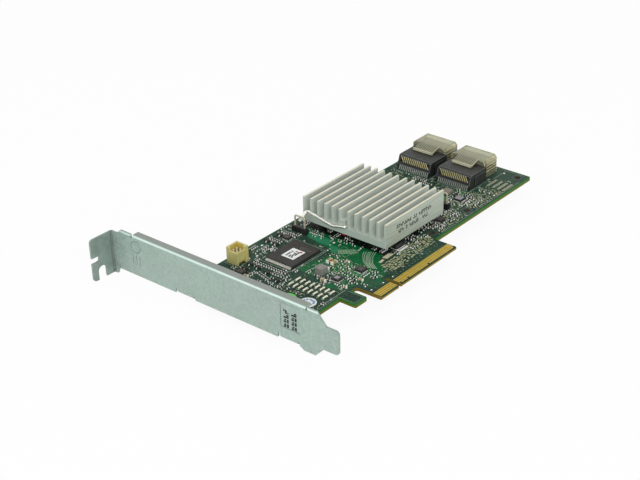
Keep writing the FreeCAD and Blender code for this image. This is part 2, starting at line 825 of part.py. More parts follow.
def make_anchor(end, x, y):
    """A moulded foot with a wire loop over the clip's hook."""
    depth = size("anchor_base_depth")
    width = size("anchor_base_width")
    height = size("anchor_base_height")
    wire = size("anchor_wire_radius")
    half_loop = size("anchor_loop_width") / 2
    top = size("anchor_loop_top") - wire
    foot = DOC.addObject("Part::Feature", end + "_anchor_foot")
    foot.Shape = Part.makeBox(depth, width, height, Vector(x - depth / 2, y - width / 2, 0))
    foot.Placement = Placement()
    keep(end + "_anchor_foot", foot)
    route = [
        Vector(x, y - half_loop, height), Vector(x, y - half_loop, top),
        Vector(x, y + half_loop, top), Vector(x, y + half_loop, height),
    ]
    loop = DOC.addObject("Part::Feature", end + "_anchor_loop")
    loop.Shape = bent_wire(route, [2 * wire, 2 * wire], wire)
    loop.Placement = Placement()
    keep(end + "_anchor_loop", loop)


# Cable ports and their dust caps


def make_port(label, side):
    """A moulded right-angle port: combs of contacts at the back, a mouth and a blade at the front."""
    body = new_body(label + "_port_housing")
    far_side = side + " + port_width"
    core = new_sketch(body, "XZ", "-(" + side + ")")
    inner = "port_back + port_recess_depth"
    draw_loop(core, [
        (inner, "0"), ("port_front", "0"), ("port_front", "port_height"),
        ("port_back + port_back_bevel", "port_height"), ("port_back + port_lip_setback", "port_lip"),
        (inner, "port_lip"), (inner, "port_sill + port_ledge"),
        ("port_back + port_ledge_setback", "port_sill + port_ledge"), ("port_back", "port_sill"),
        (inner, "port_sill"),
    ])
    pad(body, core, "port_width", True)
    for start in (side, far_side + " - port_cheek"):
        cheek = new_sketch(body, "XZ", "-(" + start + ")")
        draw_loop(cheek, [
            ("port_back + port_cheek / 2", "0"), ("port_front", "0"), ("port_front", "port_height"),
            ("port_back + port_back_bevel", "port_height"), ("port_back + port_lip_setback", "port_lip"),
            ("port_back", "port_sill"), ("port_back + port_cheek / 2", "port_sill"),
        ])
        pad(body, cheek, "port_cheek", True)
    mouth = new_sketch(body, "YZ", "port_front")
    draw_box(mouth, side + " + port_mouth_inset", "port_mouth_low",
             far_side + " - port_mouth_inset", "port_mouth_high")
    floor = "port_back + port_recess_depth + port_back_wall"
    cut(body, mouth, "port_front - port_back - port_recess_depth - port_back_wall")
    blade = new_sketch(body, "YZ", floor)
    middle = "(port_mouth_low + port_mouth_high) / 2"
    draw_box(blade, side + " + port_mouth_inset + port_blade_inset",
             middle + " - port_blade_thickness / 2",
             far_side + " - port_mouth_inset - port_blade_inset",
             middle + " + port_blade_thickness / 2")
    pad(body, blade, f"port_front - port_blade_setback - ({floor})")
    pocket = new_sketch(body, "XZ", "-(" + side + ")")
    draw_box(pocket, "port_back + port_pocket_front", "0", "port_back + port_pocket_end", "port_pocket_high")
    cut(body, pocket, "port_pocket_depth")
    boss = new_sketch(body, "XY")
    draw_circle(boss, "port_back + port_boss_radius + port_cheek / 2", far_side, "port_boss_radius")
    pad(body, boss, "port_boss_height")


def make_port_contacts(label, side):
    """Two combs of flat contacts that slope into the recesses; the lower ones reach the board."""
    pitch = size("port_contact_pitch")
    width = size("port_contact_width")
    thick = size("port_contact_thickness")
    count = int(size("port_contacts_per_row"))
    back = size("port_back")
    inner = worth("port_back + port_recess_depth")
    ledge = worth("port_sill + port_ledge")
    lip = size("port_lip")
    sill = size("port_sill")
    foot = size("port_foot_length")
    first = worth(side) + size("port_width") / 2 - pitch * (count - 1) / 2
    lip_edge = worth("port_back + port_lip_setback")
    upper = [
        Vector(lip_edge + thick, 0, lip), Vector(lip_edge + 2 * thick, 0, lip),
        Vector(inner, 0, ledge), Vector(inner - thick, 0, ledge),
    ]
    lower = [
        Vector(back + thick, 0, sill), Vector(back + 2 * thick, 0, sill),
        Vector(inner - thick, 0, thick), Vector(inner, 0, thick), Vector(inner, 0, 0),
        Vector(inner - foot - thick, 0, 0), Vector(inner - foot - thick, 0, thick),
        Vector(inner - 2 * thick, 0, thick),
    ]
    solids = []
    for number in range(count):
        at = Vector(0, first + pitch * number - width / 2, 0)
        for outline in (upper, lower):
            solids.append(slab([point + at for point in outline], Vector(0, width, 0)))
    group(label + "_port_contacts", solids)


def make_dust_cap(label, side):
    """A clear cap: a thin shell open at the tail, shelves inside, a plug and a long latch tab."""
    body = new_body(label + "_dust_cap")
    middle = f"{side} + port_width / 2 + cap_shift"
    low = middle + " - cap_width / 2"
    high = middle + " + cap_width / 2"
    top = "cap_lift + cap_height"
    back = "port_front"
    shell = new_sketch(body, "YZ", back)
    draw_loop(shell, [
        (low, "cap_lift"), (high, "cap_lift"), (high, top + " - cap_bevel"),
        (high + " - cap_bevel", top), (low + " + cap_bevel", top), (low, top + " - cap_bevel"),
    ])
    pad(body, shell, "cap_length")
    hollow = new_sketch(body, "YZ", "port_front + cap_length")
    inner_top = top + " - cap_wall"
    inner_low = low + " + cap_wall"
    inner_high = high + " - cap_wall"
    draw_loop(hollow, [
        (inner_low, "cap_lift + cap_wall"), (inner_high, "cap_lift + cap_wall"),
        (inner_high, top + " - cap_bevel - cap_wall / 2"), (high + " - cap_bevel - cap_wall / 2", inner_top),
        (low + " + cap_bevel + cap_wall / 2", inner_top), (inner_low, top + " - cap_bevel - cap_wall / 2"),
    ])
    cut(body, hollow, "cap_length - cap_wall")
    for level in ("cap_lower_shelf", "cap_upper_shelf"):
        shelf = new_sketch(body, "YZ", "port_front + cap_wall / 2")
        draw_box(shelf, low + " + cap_wall / 2", level + " - cap_shelf_thickness / 2",
                 high + " - cap_wall / 2", level + " + cap_shelf_thickness / 2")
        pad(body, shelf, "cap_length - cap_wall / 2")
    plug = new_sketch(body, "YZ", back)
    blade_top = "(port_mouth_low + port_mouth_high) / 2 + port_blade_thickness / 2"
    draw_box(plug, side + " + port_mouth_inset + cap_plug_clearance",
             blade_top + " + cap_plug_clearance",
             side + " + port_width - port_mouth_inset - cap_plug_clearance",
             "port_mouth_high - cap_plug_clearance")
    pad(body, plug, "cap_plug_length", True)
    tab = new_sketch(body, "XZ", f"-({middle} - cap_tab_width / 2)")
    under = "port_height + cap_tab_gap"
    draw_loop(tab, [
        ("port_front + cap_wall", top + " - cap_tab_thickness"), ("port_front + cap_wall", top),
        ("port_front", top), ("port_front - cap_tab_reach + cap_tab_lip", under + " + cap_tab_thickness"),
        ("port_front - cap_tab_reach", under + " + cap_tab_thickness + cap_tab_lip"),
        ("port_front - cap_tab_reach", under), ("port_front - cap_tab_reach + cap_tab_lip", under),
        ("port_front", top + " - cap_tab_thickness"),
    ])
    pad(body, tab, "cap_tab_width", True)


# Memory chip and header


def gull_wing(top, reach, foot, thick):
    """The side outline of a lead that leaves a chip along X, as points from the chip outwards."""
    half = top / 2
    knee = reach - foot
    return [
        Vector(0, 0, half), Vector(0, 0, half + thick), Vector(knee / 2 + thick, 0, half + thick),
        Vector(knee + thick / 2, 0, thick), Vector(reach, 0, thick), Vector(reach, 0, 0),
        Vector(knee, 0, 0), Vector(knee / 2, 0, half),
    ]


def make_memory_chip():
    body = new_body("memory_chip")
    plan = new_sketch(body, "XY", "memory_standoff")
    far = "memory_front + memory_length"
    high = "memory_low_side + memory_width"
    draw_box(plan, "memory_front", "memory_low_side", far, high)
    pad(body, plan, "memory_top - memory_standoff")
    soften(body, 1, [("memory_front", "memory_top"), (far, "memory_top")], "memory_bevel", bevel=True)
    width = size("memory_lead_width")
    count = int(size("memory_lead_count"))
    pitch = size("memory_lead_pitch")
    profile = gull_wing(size("memory_top") - size("memory_lead_thickness"), size("memory_lead_reach"),
                        size("memory_lead_foot"), size("memory_lead_thickness"))
    middle = worth("memory_low_side + memory_width / 2")
    leads = []
    for end, way in ((worth(far), 1), (size("memory_front"), -1)):
        for number in range(count):
            at = middle + pitch * (number - (count - 1) / 2) - width / 2
            points = [Vector(end + way * point.x, at, point.z) for point in profile]
            leads.append(slab(points, Vector(0, width, 0)))
    group("memory_chip_leads", leads)
    label = part_box("memory_label", ["memory_label_front", "memory_label_low_side", "memory_top"],
                     ["memory_label_length", "memory_label_width", "label_thickness"])
    keep("memory_label", label)


def make_header():
    """A cream shroud, open above, with two lowered walls, a ribbed post, a window and four square pins."""
    body = new_body("header_shroud")
    low_x = "header_front"
    low_y = "header_low_side"
    high_x = "header_front + header_length"
    high_y = "header_low_side + header_width"
    block = new_sketch(body, "XY")
    draw_box(block, low_x, low_y, high_x, high_y)
    pad(body, block, "header_height")
    well = new_sketch(body, "XY", "header_height")
    draw_box(well, low_x + " + header_wall", low_y + " + header_wall",
             high_x + " - header_wall", high_y + " - header_wall")
    cut(body, well, "header_height - header_floor")
    slots = new_sketch(body, "XY", "header_height")
    middle_x = "header_front + header_length / 2"
    middle_y = "header_low_side + header_width / 2"
    draw_loop(slots, [
        (low_x + " - header_wall", low_y + " - header_wall"),
        (high_x + " - header_post", low_y + " - header_wall"),
        (high_x + " - header_post", low_y + " + header_wall"),
        (low_x + " + header_wall", low_y + " + header_wall"),
        (low_x + " + header_wall", high_y + " - header_post"),
        (low_x + " - header_wall", high_y + " - header_post"),
    ])
    cut(body, slots, "header_slot_depth")
    window = new_sketch(body, "XY")
    draw_box(window, low_x + " + header_wall", low_y + " - header_wall",
             high_x + " - header_post", low_y + " + header_wall")
    cut(body, window, "header_window_height", True)
    rib = new_sketch(body, "XY")
    draw_box(rib, high_x + " - header_post", low_y + " - header_rib", high_x, low_y)
    pad(body, rib, "header_height")
    bores = new_sketch(body, "XY")
    for across in ("-", "+"):
        for along in ("-", "+"):
            draw_box(bores, f"{middle_x} {across} header_pin_pitch / 2 - header_pin_side / 2",
                     f"{middle_y} {along} header_pin_pitch / 2 - header_pin_side / 2",
                     f"{middle_x} {across} header_pin_pitch / 2 + header_pin_side / 2",
                     f"{middle_y} {along} header_pin_pitch / 2 + header_pin_side / 2")
    cut_through(body, bores)
    side = size("header_pin_side")
    half_pitch = size("header_pin_pitch") / 2
    pins = []
    for across in (-half_pitch, half_pitch):
        for along in (-half_pitch, half_pitch):
            corner = Vector(worth(middle_x) + across - side / 2, worth(middle_y) + along - side / 2, 0)
            pins.append(Part.makeBox(side, side, size("header_pin_top"), corner))
    group("header_pins", pins)


# Power parts, small chips and passives


def make_inductor():
    body = new_body("power_inductor")
    plan = new_sketch(body, "XY", "inductor_foot")
    far = "inductor_front + inductor_side"
    high = "inductor_low_side + inductor_side"
    draw_box(plan, "inductor_front", "inductor_low_side", far, high)
    pad(body, plan, "inductor_height - inductor_foot")
    soften(body, 2, [("inductor_front", "inductor_low_side"), (far, "inductor_low_side"),
                     (far, high), ("inductor_front", high)], "inductor_corner")
    middle = worth("inductor_low_side + inductor_side / 2 - inductor_foot_width / 2")
    length = size("inductor_foot_length")
    feet = []
    for start in (size("inductor_front"), worth(far) - length):
        corner = Vector(start, middle, 0)
        feet.append(Part.makeBox(length, size("inductor_foot_width"), size("inductor_foot"), corner))
    group("power_inductor_feet", feet)


def make_regulator():
    """A tab package: the body, a plate under it that stands out in front, and two leads behind."""
    tab = size("regulator_tab_thickness")
    keep("voltage_regulator", part_box(
        "voltage_regulator",
        ["regulator_front", "regulator_low_side", "regulator_tab_thickness"],
        ["regulator_length", "regulator_width", "regulator_height - regulator_tab_thickness"]))
    length = worth("regulator_length - 2 * regulator_tab_inset")
    corner = spot("regulator_front + regulator_tab_inset",
                  "regulator_low_side - regulator_tab_reach", "0")
    plate = Part.makeBox(length, worth("regulator_tab_reach + regulator_plate_hidden"), tab, corner)
    solids = [plate]
    for way in (-1, 1):
        place = worth("regulator_front + regulator_length / 2") + way * size("regulator_lead_pitch")
        start = worth("regulator_low_side + regulator_width - regulator_lead_hidden")
        corner = Vector(place - size("regulator_lead_width") / 2, start, 0)
        reach = worth("regulator_lead_hidden + regulator_lead_reach")
        solids.append(Part.makeBox(size("regulator_lead_width"), reach, tab, corner))
    group("voltage_regulator_tab", solids)


SMALL_CHIPS = ("power_stage_chip", "clock_chip", "tail_logic_chip", "header_driver_chip", "supervisor_chip",
               "sink_side_chip")
LARGE_CAPACITORS = ("left_output_capacitor", "right_output_capacitor", "slot_capacitor", "header_capacitor",
                    "inductor_capacitor", "input_capacitor")


def make_small_chips():
    for name in SMALL_CHIPS:
        corner = [name + "_front", name + "_low_side", "0"]
        keep(name, part_box(name, corner, [name + "_length", name + "_width", name + "_height"]))


def make_passives():
    """Blocks that stand straight on the board: capacitors one by one, and long resistors in two lines."""
    blocks = []
    for name in LARGE_CAPACITORS:
        corner = spot(name + "_front", name + "_low_side", "0")
        blocks.append(Part.makeBox(size(name + "_length"), size(name + "_width"), size(name + "_height"), corner))
    group("ceramic_capacitors", blocks)
    blocks = []
    for column in range(int(size("resistor_columns"))):
        for row in range(int(size("resistor_rows"))):
            corner = spot(f"resistor_first_front + {column} * resistor_step_along",
                          f"resistor_first_low_side + {row} * resistor_step_across", "0")
            blocks.append(Part.makeBox(size("resistor_length"), size("resistor_width"),
                                       size("resistor_height"), corner))
    group("resistor_packs", blocks)


def make_stickers():
    for colour in ("white", "green"):
        name = colour + "_round_sticker"
        sticker = part_cylinder(name, [colour + "_sticker_place", colour + "_sticker_rise", "0"],
                                colour + "_sticker_radius", "sticker_thickness")
        keep(name, sticker)


def write_parts():
    """Check every object and shape, then write one file for each sub-part."""
    DOC.recompute()
    for thing in DOC.Objects:
        if "Invalid" in thing.State or "Error" in thing.State:
            raise RuntimeError(f"{thing.Name} did not build: {thing.State}")
    for thing in SUBPARTS:
        if thing.Shape.isNull() or not thing.Shape.isValid() or not thing.Shape.Solids:
            raise RuntimeError(f"{thing.Label} has no sound solid")
    os.makedirs("parts", exist_ok=True)
    for thing in SUBPARTS:
        thing.Shape.exportStep(f"parts/{thing.Label}.step")
        print(thing.Label, len(thing.Shape.Solids), round(thing.Shape.Volume, 3))


make_board()
make_edge_contacts()
make_bracket()
make_bracket_screws()
make_heat_sink()
make_controller()
make_clip()
for label, side in (("near", "near_port_side"), ("far", "near_port_side + port_pitch")):
    make_port(label, side)
    make_port_contacts(label, side)
    make_dust_cap(label, side)
make_memory_chip()
make_header()
make_inductor()
make_regulator()
make_small_chips()
make_passives()
make_stickers()
write_parts()
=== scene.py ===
"""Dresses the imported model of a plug-in storage controller card: finishes, printed circuit, small parts and marks."""

import math
import random

import bpy
from mathutils import Matrix, Vector


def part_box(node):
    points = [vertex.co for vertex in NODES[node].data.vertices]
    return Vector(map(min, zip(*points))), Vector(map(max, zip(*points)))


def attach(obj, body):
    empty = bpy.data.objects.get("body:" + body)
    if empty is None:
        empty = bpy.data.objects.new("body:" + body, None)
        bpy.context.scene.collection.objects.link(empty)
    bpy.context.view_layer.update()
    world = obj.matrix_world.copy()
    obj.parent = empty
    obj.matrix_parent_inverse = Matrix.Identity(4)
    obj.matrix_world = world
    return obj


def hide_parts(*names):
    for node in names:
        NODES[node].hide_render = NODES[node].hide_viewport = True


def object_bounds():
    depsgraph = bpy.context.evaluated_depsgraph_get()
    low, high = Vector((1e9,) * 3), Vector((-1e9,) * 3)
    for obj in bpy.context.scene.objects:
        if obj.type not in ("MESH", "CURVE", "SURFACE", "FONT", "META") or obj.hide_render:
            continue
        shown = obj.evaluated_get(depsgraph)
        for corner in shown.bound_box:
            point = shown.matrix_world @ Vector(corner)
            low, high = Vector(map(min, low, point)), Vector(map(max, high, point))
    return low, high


bl_info = {
    "name": "Storage Controller Card",
    "version": (1, 0, 0),
    "blender": (4, 5, 0),
    "location": "3D View > Sidebar > Controller Card",
    "description": "Finishes, printed circuit and small parts of a plug-in storage controller card",
    "category": "Object",
}

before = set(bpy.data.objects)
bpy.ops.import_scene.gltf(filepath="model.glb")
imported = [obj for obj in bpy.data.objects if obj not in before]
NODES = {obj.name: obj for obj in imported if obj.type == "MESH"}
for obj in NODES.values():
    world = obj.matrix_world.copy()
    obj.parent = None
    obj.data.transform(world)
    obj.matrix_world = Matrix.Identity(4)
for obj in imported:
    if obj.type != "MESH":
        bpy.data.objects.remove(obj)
CAD_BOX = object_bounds()

MM = 0.001
BODY = "root"
QUARTER = math.pi / 2
MATERIALS = {}


def tint(red, green, blue):
    """A colour picked on a screen, 0 to 255, as the linear numbers that a shader works in."""

    def linear(part):
        part /= 255
        return part / 12.92 if part <= 0.04045 else ((part + 0.055) / 1.055) ** 2.4

    return (linear(red), linear(green), linear(blue))


# Settings that a user may change


def colour(name, description, default):
    """A colour setting."""
    return bpy.props.FloatVectorProperty(
        name=name, description=description, default=default, subtype="COLOR", size=3, min=0, max=1
    )


def length(name, description, default):
    """A length setting, in millimetres here and in metres in the panel."""
    return bpy.props.FloatProperty(
        name=name, description=description, default=default * MM, subtype="DISTANCE", unit="LENGTH", precision=5
    )


def number(name, description, default):
    """A plain number setting."""
    return bpy.props.FloatProperty(name=name, description=description, default=default)


class CardBoardLook(bpy.types.PropertyGroup):
    """Colours and line sizes of the printed circuit."""

    mask: colour("Solder mask", "Dark green lacquer over the laminate", tint(28, 58, 46))
    track: colour("Tracks", "Lacquer where it covers a copper track", tint(66, 104, 84))
    pour: colour("Copper pour", "Bright green lacquer over the wide copper areas", tint(0, 108, 58))
    rim: colour("Cut edge", "Lacquer that runs over the upper part of the cut edge", tint(44, 114, 50))
    core: colour("Core", "Bare laminate in the cut edge", tint(116, 108, 28))
    ink: colour("Legend ink", "Pale printed outlines", tint(205, 212, 198))
    track_width: length("Track width", "Width of one printed track", 0.16)
    track_rise: length("Track rise", "How far a track stands over the board", 0.02)
    legend_width: length("Legend width", "Width of a printed outline", 0.18)


class CardMetalLook(bpy.types.PropertyGroup):
    """Colours of the bare metals."""

    zinc: colour("Zinc", "Galvanised sheet of the bracket", tint(148, 170, 158))
    zinc_dull: colour("Dull zinc", "Weathered patches of the zinc", tint(148, 160, 154))
    aluminium: colour("Aluminium", "Extruded heat sink", tint(214, 220, 212))
    # Colour of the painted highlight on the fin tops
    aluminium_top_highlight: colour("Fin top highlight", "Painted highlight on the fin tops", tint(232, 230, 204))
    gold: colour("Gold", "Plated edge contacts", tint(212, 178, 52))
    tin: colour("Tin", "Tinned leads and pads", tint(252, 252, 244))
    steel: colour("Spring steel", "Clip wire and screws", tint(240, 240, 230))


class CardPlasticLook(bpy.types.PropertyGroup):
    """Colours of the mouldings, ceramics and papers."""

    slate: colour("Port moulding", "Dark moulding of the cable ports", tint(42, 43, 41))
    cap: colour("Dust cap", "Clear olive moulding of the dust caps", tint(212, 212, 182))
    epoxy: colour("Chip body", "Black moulded chip bodies", tint(48, 46, 43))
    cream: colour("Header", "Cream moulding of the fan header", tint(216, 204, 132))
    ferrite: colour("Ferrite", "Grey body of the inductor", tint(140, 138, 132))
    tan: colour("Ceramic", "Tan ceramic of the larger capacitors", tint(178, 152, 100))
    pale: colour("Resistor body", "Cream body of the resistor packs", tint(248, 246, 220))
    paper: colour("Label paper", "White label stock", tint(250, 252, 250))
    green: colour("Green sticker", "Inspection sticker", tint(96, 214, 84))
    print_ink: colour("Print", "Dark ink on labels and metal", tint(20, 20, 24))


class CardPartSizes(bpy.types.PropertyGroup):
    """Sizes of the small parts that are repeated over the board."""

    chip_length: length("Chip length", "Length of a small capacitor or resistor", 1.45)
    chip_width: length("Chip width", "Width of a small capacitor or resistor", 0.62)
    chip_height: length("Chip height", "Height of a small capacitor", 0.5)
    end_cap: length("End cap", "Length of the tinned end of a chip part", 0.27)
    via_ring: length("Via ring", "Outer radius of a via", 0.24)


class CardStageLook(bpy.types.PropertyGroup):
    """Floor, light and lens of the picture."""

    floor: colour("Floor", "Plain white floor", tint(255, 255, 255))
    floor_size: length("Floor size", "Side of the floor", 6000)
    key_power: number("Key light", "Power of the main soft light, in watts", 7.5)
    front_power: number("Front light", "Power of the light before the bracket, in watts", 6.0)
    fill_power: number("Fill light", "Power of the fill light, in watts", 1.2)
    sky: number("Sky", "Strength of the even light from all round", 0.58)
    lens: bpy.props.FloatProperty(
        name="Lens", description="Focal length on a 36 mm wide sensor", default=75.98, subtype="DISTANCE_CAMERA"
    )


# Modelling steps


def set_down():
    """Leaves nothing selected, so that the next operator acts only on what it adds."""
    if bpy.context.object and bpy.context.object.mode != "OBJECT":
        bpy.ops.object.mode_set(mode="OBJECT")
    bpy.ops.object.select_all(action="DESELECT")


def pick(piece):
    """Selects one piece alone and makes it the active one."""
    set_down()
    piece.select_set(True)
    bpy.context.view_layer.objects.active = piece


def settle(name):
    """Names the new piece and puts its place, turn and size into its mesh."""
    piece = bpy.context.object
    piece.name = name
    piece.data.name = name
    bpy.ops.object.transform_apply(location=True, rotation=True, scale=True)
    return piece


def block(name, low, high):
    """A box between two corners, given in millimetres."""
    set_down()
    bpy.ops.mesh.primitive_cube_add(size=1)
    piece = bpy.context.object
    piece.location = [(a + b) / 2 * MM for a, b in zip(low, high)]
    piece.scale = [(b - a) * MM for a, b in zip(low, high)]
    return settle(name)


def drum(name, foot, radius, height, sides):
    """An upright cylinder that stands on a point, given in millimetres."""
    set_down()
    middle = (Vector(foot) + Vector((0, 0, height / 2))) * MM
    bpy.ops.mesh.primitive_cylinder_add(vertices=sides, radius=radius * MM, depth=height * MM, location=middle)
    return settle(name)


def choose(piece, test):
    """Selects in edit mode the faces whose middle, in millimetres, and normal pass a test."""
    pick(piece)
    bpy.ops.object.mode_set(mode="EDIT")
    bpy.ops.mesh.select_mode(type="FACE")
    bpy.ops.mesh.select_all(action="DESELECT")
    bpy.ops.object.mode_set(mode="OBJECT")
    for face in piece.data.polygons:
        face.select = bool(test(face.center / MM, face.normal))
    bpy.ops.object.mode_set(mode="EDIT")


def choose_top(piece):
    """Selects in edit mode the faces that look up."""
    choose(piece, lambda middle, normal: normal.z > 0.9)


def finish_edit():
    """Back to object mode."""
    bpy.ops.object.mode_set(mode="OBJECT")


def extrude(x, y, z):
    """Pulls the selected faces out by a step in millimetres."""
    bpy.ops.mesh.extrude_region_move(TRANSFORM_OT_translate={"value": (x * MM, y * MM, z * MM)})


def shift(x, y, z):
    """Moves the selected faces by a step in millimetres."""
    bpy.ops.transform.translate(value=(x * MM, y * MM, z * MM))


def inset(thickness, depth=0):
    """Insets the selected faces, in millimetres."""
    bpy.ops.mesh.inset(thickness=thickness * MM, depth=depth * MM)


def scale_faces(x, y, z, height):
    """Scales the selected faces about a point over the origin, with its height in millimetres."""
    bpy.ops.transform.resize(value=(x, y, z), center_override=Vector((0, 0, height)) * MM)


def inset_top(piece, thickness, depth=0.0, rise=0.0):
    """Insets the faces that look up, and lifts them."""
    choose_top(piece)
    inset(thickness, depth)
    if rise:
        shift(0, 0, rise)
    finish_edit()
    return piece


def narrow_top(piece, x, y, height):
    """Narrows the faces that look up."""
    choose_top(piece)
    scale_faces(x, y, 1, height)
    finish_edit()
    return piece


def bevel_edges(piece, width, segments=2, angle=40):
    """Rounds the sharp edges of a piece with a bevel modifier that is then applied."""
    pick(piece)
    bevel = piece.modifiers.new("Soft edges", "BEVEL")
    bevel.width = width * MM
    bevel.segments = segments
    bevel.limit_method = "ANGLE"
    bevel.angle_limit = math.radians(angle)
    bpy.ops.object.modifier_apply(modifier=bevel.name)
    return piece


def smooth(piece, angle=35):
    """Shades a piece smooth across its gentle angles."""
    pick(piece)
    bpy.ops.object.shade_smooth_by_angle(angle=math.radians(angle))
    return piece


def join(pieces, name):
    """Joins pieces into one, under one name."""
    set_down()
    for piece in pieces:
        piece.select_set(True)
    bpy.context.view_layer.objects.active = pieces[0]
    if len(pieces) > 1:
        bpy.ops.object.join()
    return settle(name)


def twin_of(pattern, matrix):
    """A copy of a pattern with a mesh of its own, set down by a matrix."""
    twin = pattern.copy()
    twin.data = pattern.data.copy()
    twin.matrix_world = matrix
    bpy.context.scene.collection.objects.link(twin)
    return twin


def copies(pattern, places, name, keep_pattern=False):
    """Copies of a part that was modelled at the origin, set down at (x, y, z, turn) and joined."""
    twins = []
    for x, y, z, turn in places:
        turned = Matrix.Rotation(math.radians(turn), 4, "Z")
        twins.append(twin_of(pattern, Matrix.Translation(Vector((x, y, z)) * MM) @ turned))
    if not keep_pattern:
        bpy.data.objects.remove(pattern)
    return join(twins, name)


def bars(name, boxes, finish_name):
    """Small bars between pairs of corners, copied from one."""
    pattern = block("bar", (-0.5, -0.5, -0.5), (0.5, 0.5, 0.5))
    twins = []
    for low, high in boxes:
        middle = [(a + b) / 2 * MM for a, b in zip(low, high)]
        size = [b - a for a, b in zip(low, high)]
        twins.append(twin_of(pattern, Matrix.Translation(middle) @ Matrix.Diagonal((*size, 1))))
    bpy.data.objects.remove(pattern)
    return paint(join(twins, name), finish_name)


def strand(name, routes, radius, sides=0, flat=1.0):
    """Thin lines along points in millimetres: a curve with a round section that is made a mesh and pressed flat."""
    curve = bpy.data.curves.new(name, "CURVE")
    curve.dimensions = "3D"
    curve.bevel_depth = radius * MM
    curve.bevel_resolution = sides
    curve.use_fill_caps = True
    for line in routes:
        spline = curve.splines.new("POLY")
        spline.points.add(len(line) - 1)
        for point, place in zip(spline.points, line):
            x, y, z = (*place, 0)[:3]
            point.co = (x * MM, y * MM, z * MM, 1)
    piece = bpy.data.objects.new(name, curve)
    bpy.context.scene.collection.objects.link(piece)
    pick(piece)
    bpy.ops.object.convert(target="MESH")
    for point in bpy.context.object.data.vertices:
        point.co.z *= flat
    return settle(name)


def slab(name, corners, low, high):
    """A thin closed plate with the given corners, made from a circle whose points are pulled out to them."""
    set_down()
    bpy.ops.mesh.primitive_circle_add(vertices=len(corners), radius=MM, fill_type="NGON")
    piece = settle(name)
    for point, (x, y) in zip(piece.data.vertices, corners):
        point.co = (x * MM, y * MM, low * MM)
    choose(piece, lambda middle, normal: True)
    extrude(0, 0, high - low)
    bpy.ops.mesh.select_all(action="SELECT")
    bpy.ops.mesh.normals_make_consistent(inside=False)
    finish_edit()
    return piece


def paint(piece, finish_name, faces=None):
    """Gives a piece a finish, or gives it to the faces whose middle and normal pass a test."""
    material = MATERIALS[finish_name]
    if material.name not in piece.data.materials:
        piece.data.materials.append(material)
    index = piece.data.materials.find(material.name)
    for face in piece.data.polygons:
        if faces is None or faces(face.center / MM, face.normal):
            face.material_index = index
    return piece


def place_on_card(piece, nodes=()):
    """The piece goes with the card, and may stand for CAD nodes."""
    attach(piece, BODY)
    if nodes:
        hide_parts(*nodes)


def node_box(name):
    """Lowest and highest corner of a CAD node, in millimetres."""
    low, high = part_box(name)
    return low / MM, high / MM


# Where parts sit on the board


TAKEN = []

# The board's outline and the widths kept free, in millimetres
EDGE_MARGIN = 0.9
PARTS_START = 4.2
BOARD_END, BOARD_TOP = 167.65, 68.9
FRONT_EDGE, TAIL_EDGE = 12.2, 10.6
FOOT_START, FOOT_END, FOOT_BOTTOM = 29.8, 37.3, 4.4
SHORT_TONGUE_START, SHORT_TONGUE_END = 40.86, 52.05
LONG_TONGUE_START, LONG_TONGUE_END = 53.9, 92.16
SLOT_TOP, KEY_NOTCH_TOP, CONTACT_TOP = 12.7, 7.4, 5.4
PORT_STARTS = {"near": 25.2, "far": 47.1}
PORT_WIDTH = 17.9

# Fixing holes and the tooling hole: x, y, radius, radius of the plain disc, radius kept free
HOLES = (
    (163.4, 15.2, 1.5, 2.7, 3.0),
    (122.1, 15.2, 1.5, 2.9, 3.0),
    (95.9, 15.2, 1.6, 2.5, 2.6),
    (163.4, 22.3, 0.75, 0, 2.0),
)
# The bracket's screws: x, y, radius kept free
SCREWS = ((6.4, 15.2, 3.2), (6.4, 64.6, 3.2))
HOLE_GAP = 0.02

# How deep lacquer and print reach into the board, so that no gap shows under them
SUNK = -0.03
PRINT_SUNK = -0.01


def claim(low_x, low_y, high_x, high_y, gap=0.12):
    """Keeps a rectangle of the board for one part, in millimetres."""
    TAKEN.append((low_x - gap, low_y - gap, high_x + gap, high_y + gap))


def is_free(low_x, low_y, high_x, high_y):
    """Whether a rectangle touches nothing that was claimed."""
    for a, b, c, d in TAKEN:
        if low_x < c and high_x > a and low_y < d and high_y > b:
            return False
    return True


def on_board(low_x, low_y, high_x, high_y):
    """Whether a rectangle lies on the component side, clear of the cut edge and the edge contacts."""
    keep = EDGE_MARGIN
    if low_x < PARTS_START or high_x > BOARD_END - keep or high_y > BOARD_TOP - keep:
        return False
    if high_x > LONG_TONGUE_END - keep:
        return low_y > TAIL_EDGE + keep
    if low_x > LONG_TONGUE_START:
        return low_y > CONTACT_TOP
    if low_x > SHORT_TONGUE_START + keep:
        return low_y > (CONTACT_TOP if high_x < SHORT_TONGUE_END - keep else KEY_NOTCH_TOP + keep)
    if high_x > FOOT_END - keep:
        return low_y > SLOT_TOP + keep
    return low_y > (FOOT_BOTTOM if low_x > FOOT_START + keep else FRONT_EDGE) + keep


def seat(places, long, wide):
    """Keeps the places, as (x, y, turn), where a part of that size finds room, and claims them."""
    kept = []
    for x, y, turn in places:
        half_x, half_y = (wide / 2, long / 2) if turn % 180 == 90 else (long / 2, wide / 2)
        spot = (x - half_x, y - half_y, x + half_x, y + half_y)
        if on_board(*spot) and is_free(*spot):
            claim(*spot)
            kept.append((x, y, 0.0, turn))
    return kept


def line_of(start, end, count, turn):
    """Evenly spaced places between two points."""
    step = max(count - 1, 1)
    return [
        (start[0] + (end[0] - start[0]) * i / step, start[1] + (end[1] - start[1]) * i / step, turn)
        for i in range(count)
    ]


